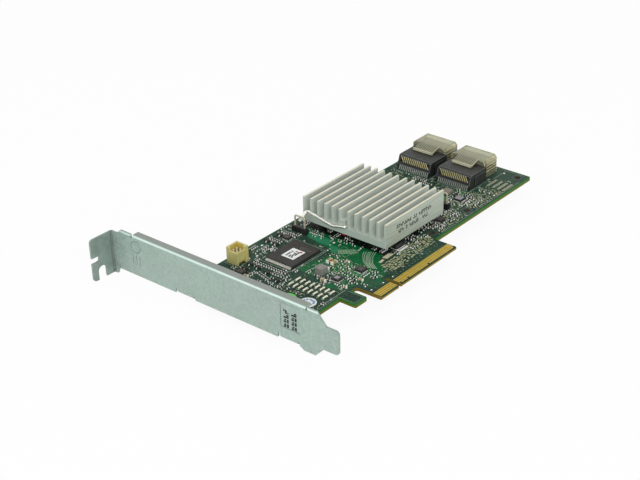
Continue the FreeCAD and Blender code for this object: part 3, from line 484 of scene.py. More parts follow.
def claim_nodes():
    """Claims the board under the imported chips, ports, labels and connectors."""
    for name in (
        "memory_chip", "memory_chip_leads", "power_inductor", "power_inductor_feet", "voltage_regulator",
        "voltage_regulator_tab", "power_stage_chip", "clock_chip", "tail_logic_chip", "header_driver_chip",
        "supervisor_chip", "sink_side_chip", "header_shroud", "near_port_housing", "far_port_housing",
        "near_dust_cap", "far_dust_cap", "front_anchor_foot", "rear_anchor_foot", "white_round_sticker",
        "green_round_sticker", "controller_substrate",
    ):
        low, high = node_box(name)
        claim(low.x, low.y, high.x, high.y, 0.35)
    for side in PORT_STARTS.values():
        claim(137.0, side, 138.7, side + PORT_WIDTH)
    for area in PLAIN_AREAS:
        claim(*area, 0.0)
    for x, y, radius in [(x, y, kept) for x, y, _, _, kept in HOLES] + list(SCREWS):
        claim(x - radius, y - radius, x + radius, y + radius)


PLAIN_AREAS = (
    (55.4, 14.6, 60.0, 19.5), (58.0, 17.5, 64.0, 24.0), (61.5, 21.0, 68.5, 28.5), (57.3, 31.0, 64.4, 37.4),
    (58.6, 38.8, 62.6, 56.0), (147.0, 12.2, 156.4, 22.4), (65.6, 16.4, 71.6, 19.4), (61.6, 16.4, 65.2, 18.4),
    (128.6, 29.2, 133.4, 33.8), (56.4, 20.0, 58.0, 30.0), (29.8, 4.4, 37.3, 11.6),
)
LARGE_CAPACITORS = (
    (48.45, 33.05, 51.35, 34.75, 1.3),
    (48.45, 30.65, 51.35, 32.35, 1.3),
    (45.35, 13.25, 46.65, 15.35, 0.9),
    (19.55, 51.55, 20.85, 53.65, 0.9),
    (44.15, 29.8, 45.45, 32.2, 1.2),
    (35.3, 24.5, 36.9, 26.9, 1.2),
)
LONG_RESISTORS = [(x + 1.7, 17.4 + 2.5 * i, 0.0, 0) for x in (25.1, 29.55) for i in range(8)]

# Small parts read off the picture: x and y of the middle, and the turn from lying along X
SEEN_CHIP_PARTS = (
    line_of((31.35, 57.9), (31.3, 42.9), 12, 0)
    + line_of((28.6, 49.6), (28.9, 41.2), 7, 0)
    + line_of((58.3, 66.1), (57.9, 58.6), 7, 0)
    + line_of((50.2, 65.6), (50.1, 60.3), 5, 0)
    + line_of((25.4, 50.6), (23.6, 43.6), 6, 0)
    + [(45.8, 61.9, 0), (45.7, 60.3, 0), (43.6, 62.0, 0), (26.2, 55.0, 0), (24.4, 52.6, 0), (26.2, 56.6, 0),
       (52.6, 31.2, 0), (53.6, 29.9, 0), (49.0, 27.6, 90), (48.2, 25.9, 90), (51.4, 25.7, 90), (50.3, 24.6, 90),
       (52.4, 23.4, 90), (46.3, 23.4, 0), (47.6, 21.6, 90), (45.4, 21.4, 90), (44.6, 19.3, 90), (42.8, 18.0, 90),
       (46.8, 18.2, 90), (45.1, 16.6, 90), (41.6, 16.2, 90), (38.0, 17.6, 0), (39.8, 16.2, 0), (36.4, 17.2, 90),
       (50.2, 12.0, 90), (51.7, 11.3, 90), (52.6, 12.9, 90), (58.8, 14.9, 0), (55.0, 13.4, 90), (43.7, 10.0, 0),
       (44.0, 11.9, 90), (42.7, 14.4, 90), (41.4, 29.6, 0), (43.5, 27.9, 90), (38.0, 27.6, 90), (41.4, 27.2, 0),
       (34.2, 24.6, 90), (38.2, 24.6, 90), (57.8, 45.8, 0), (54.6, 36.7, 0), (57.5, 40.3, 0), (48.1, 37.2, 0)]
    + line_of((66.6, 41.6), (70.2, 36.9), 6, 90)
    + line_of((66.1, 38.2), (68.3, 35.3), 4, 90)
    + line_of((84.6, 21.3), (86.0, 21.2), 2, 90)
    + [(87.5, 20.3, 90), (85.4, 18.9, 90), (86.7, 18.6, 90), (88.9, 20.6, 90), (88.9, 18.3, 90), (89.9, 17.0, 90),
       (82.4, 18.2, 90), (102.5, 20.2, 0), (113.1, 22.4, 90), (113.4, 20.4, 0), (113.3, 18.2, 90), (114.9, 18.0, 90),
       (115.6, 15.2, 0), (103.6, 19.4, 90), (103.6, 17.4, 0), (109.6, 15.4, 90), (111.5, 15.1, 90), (102.7, 14.1, 0),
       (102.0, 17.2, 90), (101.0, 15.3, 90), (99.8, 13.7, 0), (96.2, 19.3, 0), (94.3, 18.2, 90), (93.3, 19.4, 90),
       (107.0, 16.1, 0), (113.6, 24.0, 0), (123.4, 23.3, 90), (124.2, 25.7, 0), (133.8, 23.0, 90), (135.3, 23.0, 90),
       (132.5, 21.6, 0), (134.3, 20.6, 0), (132.4, 19.0, 90), (129.8, 18.4, 0), (126.2, 18.3, 90), (124.7, 18.0, 90),
       (128.0, 18.7, 0), (131.9, 15.2, 0), (134.6, 15.1, 0), (129.1, 14.8, 0), (142.3, 18.9, 0), (142.4, 16.2, 0),
       (142.2, 13.5, 0), (142.5, 21.6, 0), (22.9, 28.1, 0), (23.3, 33.2, 0), (20.7, 39.8, 0), (21.2, 37.6, 90)]
)
MIDDLE_CAPACITORS = ((54.2, 27.6, 90), (56.3, 27.2, 90), (37.6, 15.8, 90), (118.6, 24.5, 90), (114.0, 27.5, 90))
THREE_LEAD_PARTS = (
    (28.6, 57.9, 90), (28.3, 53.5, 90), (24.7, 57.0, 90), (54.9, 64.4, 90), (54.6, 60.6, 90), (47.6, 65.4, 90),
    (47.9, 60.9, 90), (25.2, 40.6, 90), (101.9, 21.6, 0), (98.0, 21.9, 0), (66.4, 64.6, 0), (131.0, 27.0, 0),
    (119.6, 60.5, 90), (151.0, 26.8, 0), (27.4, 47.9, 90), (27.6, 43.6, 90),
)
FLAT_PADS = (
    (43.7, 65.0, 1.5, 0.8), (43.6, 59.9, 1.4, 0.8), (35.7, 60.6, 1.5, 0.8), (63.8, 42.6, 1.3, 1.0),
    (61.3, 42.6, 0.9, 0.5), (163.4, 22.3, 0.9, 0.9), (50.0, 6.3, 0.8, 0.7), (56.2, 6.2, 0.8, 0.7),
    (42.7, 6.6, 1.0, 0.7),
)
LEGEND_FRAMES = (
    (34.0, 41.2, 56.4, 57.2), (57.3, 35.0, 63.6, 37.4), (57.3, 31.0, 64.4, 33.4), (38.0, 27.9, 43.4, 33.3),
    (47.8, 30.1, 52.0, 35.3), (49.6, 16.6, 55.0, 22.0), (37.9, 19.5, 43.9, 25.3), (73.4, 15.2, 81.2, 23.8),
    (104.4, 16.4, 109.8, 21.2), (125.9, 20.7, 131.4, 26.2), (18.6, 53.4, 23.4, 59.2), (52.4, 58.0, 57.0, 63.0),
    (23.6, 60.4, 31.6, 67.6), (136.6, 24.2, 153.6, 44.2), (136.6, 46.1, 153.6, 66.1),
)


# Shader steps


def add_node(tree, kind, values=None, **settings):
    """Adds a node, sets its options, and sets or links its inputs."""
    node = tree.nodes.new(kind)
    for key, value in settings.items():
        setattr(node, key, value)
    for socket, value in (values or {}).items():
        if isinstance(value, bpy.types.NodeSocket):
            tree.links.new(value, node.inputs[socket])
        else:
            node.inputs[socket].default_value = value
    return node


def rgba(value):
    """A colour with its fourth number."""
    return (*value, 1.0)


def blend(tree, factor, first, second):
    """Mixes two colours and gives the output socket."""
    node = add_node(tree, "ShaderNodeMix", data_type="RGBA")
    for index, value in ((0, factor), (6, first), (7, second)):
        if isinstance(value, bpy.types.NodeSocket):
            tree.links.new(value, node.inputs[index])
        elif index:
            node.inputs[index].default_value = rgba(value)
        else:
            node.inputs[index].default_value = value
    return node.outputs[2]


def sums(tree, operation, first, second=0.0, third=None):
    """One sum of two or three numbers, and gives the output socket."""
    node = add_node(tree, "ShaderNodeMath", operation=operation)
    for index, value in enumerate((first, second, third)):
        if isinstance(value, bpy.types.NodeSocket):
            tree.links.new(value, node.inputs[index])
        elif value is not None:
            node.inputs[index].default_value = value
    return node.outputs[0]


def times(tree, first, second):
    """The product of two numbers, or the overlap of two masks."""
    return sums(tree, "MULTIPLY", first, second)


def ramp(tree, factor, low, high):
    """0 below the low value and 1 above the high one, or the other way when low is over high."""
    flipped = low > high
    limits = {"From Min": min(low, high), "From Max": max(low, high)}
    ends = {"To Min": float(flipped), "To Max": float(not flipped)}
    node = add_node(tree, "ShaderNodeMapRange", {"Value": factor, **limits, **ends}, interpolation_type="SMOOTHSTEP")
    return node.outputs["Result"]


def new_group(name, inputs, outputs):
    """An empty shader node group with named inputs and outputs."""
    tree = bpy.data.node_groups.new(name, "ShaderNodeTree")
    for title, kind, default in inputs:
        socket = tree.interface.new_socket(name=title, in_out="INPUT", socket_type=kind)
        if default is not None:
            socket.default_value = default
    for title, kind in outputs:
        tree.interface.new_socket(name=title, in_out="OUTPUT", socket_type=kind)
    return tree, tree.nodes.new("NodeGroupInput"), tree.nodes.new("NodeGroupOutput")


def use_group(tree, group, **values):
    """Places a shared group in a material, with its own values."""
    node = tree.nodes.new("ShaderNodeGroup")
    node.node_tree = bpy.data.node_groups[group]
    for title, value in values.items():
        socket = node.inputs[title.replace("_", " ").capitalize()]
        if isinstance(value, bpy.types.NodeSocket):
            tree.links.new(value, socket)
        else:
            socket.default_value = value
    return node


def build_grain_group():
    """Two sizes of noise: a fine grain and broad cloudy patches."""
    tree, given, out = new_group(
        "Grain and patches",
        [("Grain scale", "NodeSocketFloat", 3000.0), ("Patch scale", "NodeSocketFloat", 60.0),
         ("Stretch", "NodeSocketVector", (1.0, 1.0, 1.0))],
        [("Grain", "NodeSocketFloat"), ("Patches", "NodeSocketFloat")],
    )
    place = add_node(tree, "ShaderNodeTexCoord").outputs["Object"]
    turned = add_node(tree, "ShaderNodeMapping", {"Vector": place, "Scale": given.outputs["Stretch"]})
    for scale, detail, low, high, output in (
        ("Grain scale", 3.0, 0.3, 0.7, "Grain"), ("Patch scale", 4.0, 0.35, 0.65, "Patches"),
    ):
        values = {"Vector": turned.outputs["Vector"], "Scale": given.outputs[scale], "Detail": detail}
        noise = add_node(tree, "ShaderNodeTexNoise", values)
        tree.links.new(ramp(tree, noise.outputs["Fac"], low, high), out.inputs[output])


def build_dust_group():
    """A thin film of dust that gathers on faces that look up."""
    tree, given, out = new_group(
        "Dust film",
        [("Surface", "NodeSocketColor", rgba((0.5, 0.5, 0.5))), ("Amount", "NodeSocketFloat", 0.1),
         ("Dust", "NodeSocketColor", rgba(tint(190, 188, 170)))],
        [("Colour", "NodeSocketColor"), ("Mask", "NodeSocketFloat")],
    )
    place = add_node(tree, "ShaderNodeTexCoord").outputs["Object"]
    noise = add_node(tree, "ShaderNodeTexNoise", {"Vector": place, "Scale": 900.0, "Detail": 5.0})
    speck = ramp(tree, noise.outputs["Fac"], 0.42, 0.7)
    normal = add_node(tree, "ShaderNodeNewGeometry").outputs["Normal"]
    upward = add_node(tree, "ShaderNodeSeparateXYZ", {"Vector": normal}).outputs["Z"]
    mask = times(tree, times(tree, speck, ramp(tree, upward, 0.2, 0.9)), given.outputs["Amount"])
    mix = add_node(tree, "ShaderNodeMix", data_type="RGBA")
    tree.links.new(mask, mix.inputs[0])
    tree.links.new(given.outputs["Surface"], mix.inputs[6])
    tree.links.new(given.outputs["Dust"], mix.inputs[7])
    tree.links.new(mix.outputs[2], out.inputs["Colour"])
    tree.links.new(mask, out.inputs["Mask"])


def build_track_group():
    """Fine parallel lines in patches and scattered dots, as the tracks and vias under the lacquer."""
    tree, given, out = new_group(
        "Tracks and vias",
        [("Pitch scale", "NodeSocketFloat", 260.0), ("Patch scale", "NodeSocketFloat", 110.0)],
        [("Tracks", "NodeSocketFloat"), ("Vias", "NodeSocketFloat")],
    )
    place = add_node(tree, "ShaderNodeTexCoord").outputs["Object"]
    lines = []
    for direction in ("X", "Y", "DIAGONAL"):
        wave = add_node(
            tree, "ShaderNodeTexWave",
            {"Vector": place, "Scale": given.outputs["Pitch scale"], "Distortion": 0.0},
            bands_direction=direction,
        )
        lines.append(ramp(tree, wave.outputs["Fac"], 0.72, 0.86))
    patch = {"Vector": place, "Scale": given.outputs["Patch scale"]}
    cells = add_node(tree, "ShaderNodeTexVoronoi", patch, distance="CHEBYCHEV")
    chance = add_node(tree, "ShaderNodeSeparateColor", {"Color": cells.outputs["Color"]})
    limits = ((0.52, 0.53), (0.5, 0.51), (0.8, 0.81))
    first, second, third = (
        times(tree, line, ramp(tree, share, *limit)) for line, share, limit in zip(lines, chance.outputs, limits)
    )
    both = sums(tree, "MAXIMUM", sums(tree, "MAXIMUM", first, second), third)
    tree.links.new(both, out.inputs["Tracks"])
    dots = add_node(tree, "ShaderNodeTexVoronoi", {"Vector": place, "Scale": 620.0})
    tree.links.new(ramp(tree, dots.outputs["Distance"], 0.2, 0.12), out.inputs["Vias"])


def new_material(name, **sockets):
    """A material with one shader, whose plain numbers are set on its own sockets."""
    material = bpy.data.materials.new(name)
    material.use_nodes = True
    shader = material.node_tree.nodes["Principled BSDF"]
    for title, value in sockets.items():
        shader.inputs[title.replace("_", " ")].default_value = value
    return material, material.node_tree, shader


def bump(tree, shader, height, strength, distance):
    """Feeds a height to the shader's normal."""
    node = add_node(tree, "ShaderNodeBump", {"Strength": strength, "Distance": distance * MM, "Height": height})
    tree.links.new(node.outputs["Normal"], shader.inputs["Normal"])


def object_axes(tree):
    """The three object coordinates, in millimetres."""
    place = add_node(tree, "ShaderNodeTexCoord").outputs["Object"]
    scaled = add_node(tree, "ShaderNodeVectorMath", operation="SCALE")
    tree.links.new(place, scaled.inputs[0])
    scaled.inputs["Scale"].default_value = 1 / MM
    split = add_node(tree, "ShaderNodeSeparateXYZ", {"Vector": scaled.outputs[0]})
    return split.outputs["X"], split.outputs["Y"], split.outputs["Z"]


def facing(tree):
    """The three parts of the surface normal."""
    normal = add_node(tree, "ShaderNodeNewGeometry").outputs["Normal"]
    split = add_node(tree, "ShaderNodeSeparateXYZ", {"Vector": normal})
    return split.outputs["X"], split.outputs["Y"], split.outputs["Z"]


def grain_and_patches(tree, grain, patch, stretch=(1.0, 1.0, 1.0)):
    """A fine grain and broad patches, each from 0 to 1."""
    node = use_group(tree, "Grain and patches", grain_scale=grain, patch_scale=patch, stretch=stretch)
    return node.outputs["Grain"], node.outputs["Patches"]


def wash(tree, shade, mask, amount, colour):
    """Lays a second colour over a shade where a mask says, and only as strongly as the amount says."""
    return blend(tree, times(tree, mask, amount), shade, colour)


def roughen(tree, shader, value, low, high):
    """Makes the shader's roughness run between two values."""
    node = add_node(tree, "ShaderNodeMapRange", {"Value": value, "To Min": low, "To Max": high})
    tree.links.new(node.outputs["Result"], shader.inputs["Roughness"])


def finish(tree, shader, shade, rough, relief):
    """Gives the shader its colour, and the value and limits of its roughness and its relief."""
    tree.links.new(shade, shader.inputs["Base Color"])
    roughen(tree, shader, *rough)
    bump(tree, shader, *relief)


def grained(name, base, second, grain, patch, mix, rough, dust=0.0, **sockets):
    """A material with a fine grain, broad patches of a second colour, dust and a slight relief."""
    material, tree, shader = new_material(name, **sockets)
    fine, broad = grain_and_patches(tree, grain, patch)
    both = sums(tree, "MULTIPLY_ADD", fine, 0.6, times(tree, broad, 0.4))
    shade = blend(tree, times(tree, both, mix), base, second)
    if dust:
        shade = use_group(tree, "Dust film", surface=shade, amount=dust).outputs["Colour"]
    finish(tree, shader, shade, (both, *rough), (fine, 0.25, 0.02))
    return material


def shaded(value, factor):
    """The same colour, darker or lighter."""
    return tuple(min(1.0, part * factor) for part in value)


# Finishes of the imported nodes


def plain_finishes(board, metal, plastic):
    """For each plain finish its key, name, colour, second colour or its share of the first, grain scale, patch scale,
    how much of the second colour shows, its range of roughness, and what else it has."""
    return (
        ("tin", "Tin", metal.tin, 0.86, 4000, 900, 0.3, (0.25, 0.45), {"Metallic": 0.1}),
        ("steel", "Spring steel", metal.steel, 0.75, 2500, 300, 0.5, (0.2, 0.36), {"Metallic": 0.9}),
        ("epoxy", "Chip epoxy", plastic.epoxy, 1.5, 5000, 200, 0.35, (0.5, 0.7),
         {"dust": 0.05, "Specular_IOR_Level": 0.25}),
        ("epoxy_grey", "Ground chip top", tint(150, 154, 158), tint(118, 120, 124), 4500, 700, 0.8, (0.3, 0.5),
         {"dust": 0.2, "Metallic": 0.2}),
        ("tan", "Tan ceramic", plastic.tan, 0.75, 3500, 800, 0.7, (0.35, 0.5), {}),
        ("brown", "Brown ceramic", tint(44, 38, 30), tint(30, 26, 22), 3500, 900, 0.8, (0.35, 0.5), {}),
        ("resistor_black", "Resistor glaze", tint(22, 24, 24), tint(40, 42, 40), 3500, 900, 0.6, (0.25, 0.4), {}),
        ("pale", "Resistor ceramic", plastic.pale, 0.9, 3500, 500, 0.7, (0.4, 0.55), {}),
        ("ink_pale", "Legend ink", board.ink, 0.7, 2500, 300, 0.8, (0.6, 0.75), {}),
        ("ink_dark", "Dark print", plastic.print_ink, 1.6, 2500, 400, 0.4, (0.6, 0.75), {}),
        ("ink_blue", "Blue print", tint(96, 142, 190), tint(140, 176, 208), 2500, 400, 0.5, (0.6, 0.75), {}),
        ("red", "Red print", tint(196, 52, 60), tint(160, 36, 46), 2500, 500, 0.5, (0.5, 0.6), {}),
        ("track", "Lacquered track", board.track, 0.8, 1800, 200, 0.7, (0.35, 0.5), {"Specular_IOR_Level": 0.15}),
        ("pour", "Lacquered pour", board.pour, 0.45, 1500, 320, 0.9, (0.3, 0.45), {"Specular_IOR_Level": 0.12}),
        ("pour_light", "Light pour", tint(50, 136, 98), tint(24, 112, 72), 1500, 260, 0.8, (0.3, 0.45),
         {"Specular_IOR_Level": 0.12}),
        ("pour_pale", "Pale pour", tint(98, 140, 98), tint(62, 112, 74), 1500, 400, 0.8, (0.35, 0.5),
         {"Specular_IOR_Level": 0.12}),
        ("bare_copper", "Via ring", tint(186, 178, 130), tint(120, 124, 88), 2500, 600, 0.8, (0.3, 0.5),
         {"Metallic": 0.6}),
        ("plain_mask", "Plain lacquer", tint(52, 74, 66), tint(42, 62, 54), 1800, 260, 0.8, (0.4, 0.55),
         {"dust": 0.1, "Specular_IOR_Level": 0.16}),
        # Near-black sheets under the heat sink: a painted shadow
        ("sink_shadow_paint", "Painted shadow under the sink", tint(20, 34, 28), tint(12, 20, 16), 1800, 260, 0.8, (0.4, 0.55),
         {"Specular_IOR_Level": 0.08}),
        ("bore", "Drilled wall", tint(58, 48, 30), tint(34, 30, 20), 2500, 500, 0.9, (0.6, 0.8), {}),
        ("trace_pale", "Pale trace", tint(232, 240, 216), tint(190, 208, 180), 2500, 400, 0.8, (0.35, 0.5), {}),
        ("ink_grey", "Laser mark", tint(122, 118, 108), tint(92, 90, 84), 3000, 500, 0.8, (0.6, 0.75), {}),
        ("lead_grey", "Grey bar end", tint(112, 112, 98), tint(86, 86, 78), 3000, 500, 0.8, (0.35, 0.5), {}),
        ("comb_gold", "Comb contact", tint(206, 198, 146), tint(146, 140, 96), 3000, 900, 0.7, (0.3, 0.45),
         {"Metallic": 0.35}),
        ("comb_tin", "Comb foot", tint(158, 164, 156), tint(112, 116, 112), 3000, 900, 0.7, (0.3, 0.45),
         {"Metallic": 0.35}),
        # Lighter lines along the port mouldings' edges: painted highlights
        ("port_edge_highlight", "Painted port highlight", tint(104, 110, 112), tint(72, 76, 80), 3000, 400, 0.8, (0.35, 0.5), {}),
        ("lead_dull", "Dull lead", tint(196, 190, 168), tint(150, 146, 128), 3000, 500, 0.7, (0.35, 0.5),
         {"Metallic": 0.25}),
        ("pad_pale", "Pale solder", tint(236, 228, 196), tint(192, 186, 154), 2200, 500, 0.7, (0.35, 0.5),
         {"Metallic": 0.2}),
        ("pad_olive", "Olive solder", tint(214, 212, 170), tint(150, 152, 112), 2200, 500, 0.8, (0.35, 0.5),
         {"Metallic": 0.15}),
        # A paler line on the header's walls: a painted highlight
        ("header_rim_highlight", "Painted header highlight", tint(232, 230, 184), tint(206, 200, 150), 2200, 500, 0.7, (0.35, 0.5), {}),
        ("block_grey", "Grey block", tint(146, 138, 124), tint(108, 102, 92), 2400, 400, 0.8, (0.5, 0.65), {}),
        # Pale lines on the clear caps' edges and ribs: painted highlights
        ("cap_highlight", "Painted cap highlight", tint(236, 234, 204), tint(206, 202, 160), 2400, 300, 0.6, (0.15, 0.3), {}),
        ("cap_amber", "Amber line", tint(216, 186, 108), tint(176, 150, 84), 2400, 300, 0.6, (0.15, 0.3), {}),
        ("cap_shade", "Cap shade", tint(84, 86, 58), tint(60, 64, 42), 2400, 300, 0.6, (0.15, 0.3), {}),
        ("zinc_line", "Pressed line", tint(116, 132, 126), tint(96, 110, 106), 2600, 400, 0.7, (0.4, 0.6),
         {"Metallic": 0.3}),
        # Near-black: the bores of the vias, and painted shade in the port mouths, the port pockets and the tab grooves
        ("hole", "Via bore", tint(22, 26, 22), tint(34, 38, 32), 2500, 600, 0.5, (0.7, 0.9), {}),
        ("port_gold", "Port contact", tint(176, 164, 120), tint(120, 112, 86), 3000, 900, 0.8, (0.3, 0.45),
         {"Metallic": 0.6}),
        ("substrate", "Chip substrate", tint(40, 72, 50), tint(28, 52, 38), 2500, 200, 0.5, (0.4, 0.55), {}),
        ("heat_pad", "Thermal pad", tint(150, 152, 150), tint(122, 124, 124), 2500, 200, 0.5, (0.7, 0.85), {}),
        ("slate", "Port moulding", plastic.slate, 1.35, 3000, 120, 0.4, (0.38, 0.55),
         {"dust": 0.05, "Specular_IOR_Level": 0.3}),
        ("anchor", "Anchor moulding", tint(22, 22, 24), tint(46, 46, 48), 3000, 300, 0.4, (0.35, 0.5),
         {"Specular_IOR_Level": 0.3}),
        ("ferrite", "Ferrite", plastic.ferrite, 0.7, 2200, 300, 0.9, (0.5, 0.7), {"dust": 0.2}),
        ("paper", "Label paper", plastic.paper, 0.9, 2800, 120, 0.5, (0.5, 0.65), {}),
        ("green", "Green sticker", plastic.green, 0.8, 2500, 200, 0.5, (0.4, 0.55), {}),
    )


PLAIN_NODES = {
    "port_gold": ("near_port_contacts", "far_port_contacts"),
    "steel": ("bracket_screws", "heat_sink_clip"),
    "lead_dull": ("front_anchor_loop", "rear_anchor_loop"),
    "resistor_black": ("clock_chip", "voltage_regulator"),
    "epoxy": ("controller_lid", "memory_chip", "power_stage_chip", "tail_logic_chip", "header_driver_chip",
              "supervisor_chip", "sink_side_chip"),
    "substrate": ("controller_substrate",),
    "heat_pad": ("thermal_pad",),
    "slate": ("near_port_housing", "far_port_housing"),
    "anchor": ("front_anchor_foot", "rear_anchor_foot"),
    "ferrite": ("power_inductor",),
    "tin": ("memory_chip_leads", "header_pins", "power_inductor_feet", "voltage_regulator_tab"),
    "tan": ("ceramic_capacitors",),
    "pale": ("resistor_packs",),
    "paper": ("memory_label", "white_round_sticker"),
    "green": ("green_round_sticker",),
}


def dress(names, material):
    """Gives CAD nodes a material."""
    for name in names:
        materials = NODES[name].data.materials
        materials.clear()
        materials.append(material)


class CARD_OT_mix_finishes(bpy.types.Operator):
    """Mix the shared effects and the plain finishes"""

    bl_idname = "card.mix_finishes"
    bl_label = "Mix finishes"

    def execute(self, context):
        build_grain_group()
        build_dust_group()
        build_track_group()
        scene = context.scene
        rows = plain_finishes(scene.card_board, scene.card_metal, scene.card_plastic)
        for key, name, base, second, grain, patch, mix, rough, others in rows:
            other = shaded(base, second) if isinstance(second, float) else second
            MATERIALS[key] = grained(name, base, other, grain, patch, mix, rough, **others)
        return {"FINISHED"}


class CARD_OT_board_finish(bpy.types.Operator):
    """Lacquer the circuit board, with its tracks and the bare laminate of its cut edge"""

    bl_idname = "card.board_finish"
    bl_label = "Board lacquer"

    def execute(self, context):
        look = context.scene.card_board
        material, tree, shader = new_material("Board lacquer", Specular_IOR_Level=0.06)
        grain, patches = grain_and_patches(tree, 1600.0, 45.0)
        lines = use_group(tree, "Tracks and vias", pitch_scale=260.0, patch_scale=120.0)
        shade = blend(tree, patches, shaded(look.mask, 0.82), shaded(look.mask, 1.2))
        along, across, height = object_axes(tree)
        foot = times(tree, ramp(tree, across, SLOT_TOP + 0.2, SLOT_TOP - 0.2), ramp(tree, along, 41.2, 40.8))
        printed = sums(tree, "SUBTRACT", 0.4, times(tree, foot, 0.34))
        shade = blend(tree, times(tree, lines.outputs["Tracks"], printed), shade, look.track)
        shade = wash(tree, shade, lines.outputs["Vias"], 0.35, tint(120, 130, 92))
        shade = use_group(tree, "Dust film", surface=shade, amount=0.04).outputs["Colour"]
        shade = wash(tree, shade, ramp(tree, along, 140.0, 160.0), 0.35, tint(72, 96, 80))
        top_edge = ramp(tree, across, BOARD_TOP - 0.5, BOARD_TOP - 0.35)
        margin = sums(tree, "MAXIMUM", top_edge, ramp(tree, along, BOARD_END - 0.55, BOARD_END - 0.4))
        low_edge = times(tree, ramp(tree, across, TAIL_EDGE + 0.6, TAIL_EDGE + 0.4), ramp(tree, along, 92.4, 92.6))
        margin = sums(tree, "MAXIMUM", margin, low_edge)
        lead_in = ramp(tree, along, FOOT_START + 0.8, FOOT_START + 0.6)
        front_edge = times(tree, ramp(tree, across, FRONT_EDGE + 0.8, FRONT_EDGE + 0.6), lead_in)
        foot_low = ramp(tree, across, FOOT_BOTTOM + 0.8, FOOT_BOTTOM + 0.6)
        foot_edge = sums(tree, "MAXIMUM", foot_low, ramp(tree, along, FOOT_END - 0.8, FOOT_END - 0.6))
        foot_edge = times(tree, foot_edge, times(tree, foot, ramp(tree, along, 38.0, 37.8)))
        margin = sums(tree, "MAXIMUM", margin, sums(tree, "MAXIMUM", front_edge, foot_edge))
        shade = blend(tree, margin, shade, look.rim)
        _, _, upward = facing(tree)
        flat = ramp(tree, sums(tree, "ABSOLUTE", upward), 0.4, 0.6)
        edge = blend(tree, ramp(tree, height, -0.95, -0.55), look.core, look.rim)
        edge = wash(tree, edge, grain, 0.35, shaded(look.core, 0.6))
        edge = blend(tree, ramp(tree, across, 1.6, 0.8), edge, tint(150, 124, 34))
        notch = times(tree, ramp(tree, along, 51.6, 51.9), ramp(tree, along, 54.4, 54.1))
        slot = times(tree, ramp(tree, along, 37.0, 37.2), ramp(tree, along, 41.3, 41.1))
        edge = wash(tree, edge, sums(tree, "MAXIMUM", notch, slot), 0.7, tint(122, 92, 44))
        relief = sums(tree, "ADD", lines.outputs["Tracks"], lines.outputs["Vias"])
        finish(tree, shader, blend(tree, flat, edge, shade), (grain, 0.35, 0.5), (relief, 0.4, 0.02))
        dress(["circuit_board"], material)
        return {"FINISHED"}


class CARD_OT_contact_finish(bpy.types.Operator):
    """Plate the edge contacts with gold"""

    bl_idname = "card.contact_finish"
    bl_label = "Gold contacts"

    def execute(self, context):
        gold = context.scene.card_metal.gold
        material, tree, shader = new_material("Contact gold", Metallic=0.5)
        grain, patches = grain_and_patches(tree, 1800.0, 180.0, (3.0, 0.5, 1.0))
        shade = blend(tree, times(tree, patches, 0.5), gold, shaded(gold, 0.72))
        shade = wash(tree, shade, grain, 0.25, tint(232, 206, 104))
        _, across, _ = object_axes(tree)
        shade = blend(tree, ramp(tree, across, 0.9, 0.5), shade, shaded(gold, 0.55))
        finish(tree, shader, shade, (grain, 0.28, 0.42), (grain, 0.2, 0.01))
        dress(["component_side_contacts", "solder_side_contacts"], material)
        return {"FINISHED"}


class CARD_OT_bracket_finish(bpy.types.Operator):
    """Galvanise the bracket, with its spangle, dull patches and scuffs, a painted highlight along the top bend and
    painted shade on the flange's top
    """

    bl_idname = "card.bracket_finish"
    bl_label = "Galvanised bracket"

    def execute(self, context):
        look = context.scene.card_metal
        material, tree, shader = new_material("Galvanised steel", Metallic=0.35)
        place = add_node(tree, "ShaderNodeTexCoord").outputs["Object"]
        grain, patches = grain_and_patches(tree, 1300.0, 38.0)
        cells = add_node(tree, "ShaderNodeTexVoronoi", {"Vector": place, "Scale": 900.0})
        spangle = add_node(tree, "ShaderNodeSeparateColor", {"Color": cells.outputs["Color"]}).outputs[0]
        shade = blend(tree, times(tree, patches, 0.45), look.zinc, look.zinc_dull)
        shade = wash(tree, shade, spangle, 0.22, tint(206, 220, 212))
        shade = wash(tree, shade, grain, 0.3, tint(128, 144, 138))
        x, y, z = object_axes(tree)
        _, _, upward = facing(tree)
        # Painted highlight: a pale line along the top bend, where the plate turns into the flange
        bend_highlight = times(tree, ramp(tree, z, 12.35, 12.75), ramp(tree, x, 0.75, 0.35))
        shade = wash(tree, shade, bend_highlight, 0.85, tint(214, 236, 228))
        # Painted shade: the flange's upward face is made darker
        flange_top_shade = times(tree, ramp(tree, upward, 0.8, 0.95), ramp(tree, z, 12.9, 13.2))
        shade = wash(tree, shade, flange_top_shade, 0.75, tint(142, 144, 139))
        smear = add_node(tree, "ShaderNodeTexNoise", {"Vector": place, "Scale": 140.0, "Detail": 6.0, "Roughness": 0.7})
        worn = times(tree, ramp(tree, y, 97.0, 107.0), ramp(tree, smear.outputs["Fac"], 0.35, 0.65))
        shade = wash(tree, shade, worn, 0.5, tint(104, 114, 112))
        fold = times(tree, ramp(tree, y, 107.0, 107.6), ramp(tree, x, -1.2, -0.4))
        shade = wash(tree, shade, fold, 0.7, tint(92, 102, 98))
        tab = times(tree, ramp(tree, y, 107.6, 108.0), ramp(tree, x, -0.4, -1.2))
        shade = wash(tree, shade, tab, 0.3, tint(110, 124, 118))
        shade = wash(tree, shade, ramp(tree, smear.outputs["Fac"], 0.58, 0.72), 0.25, tint(118, 126, 122))
        finish(tree, shader, shade, (spangle, 0.42, 0.6), (sums(tree, "ADD", grain, spangle), 0.25, 0.015))
        dress(["mounting_bracket"], material)
        return {"FINISHED"}


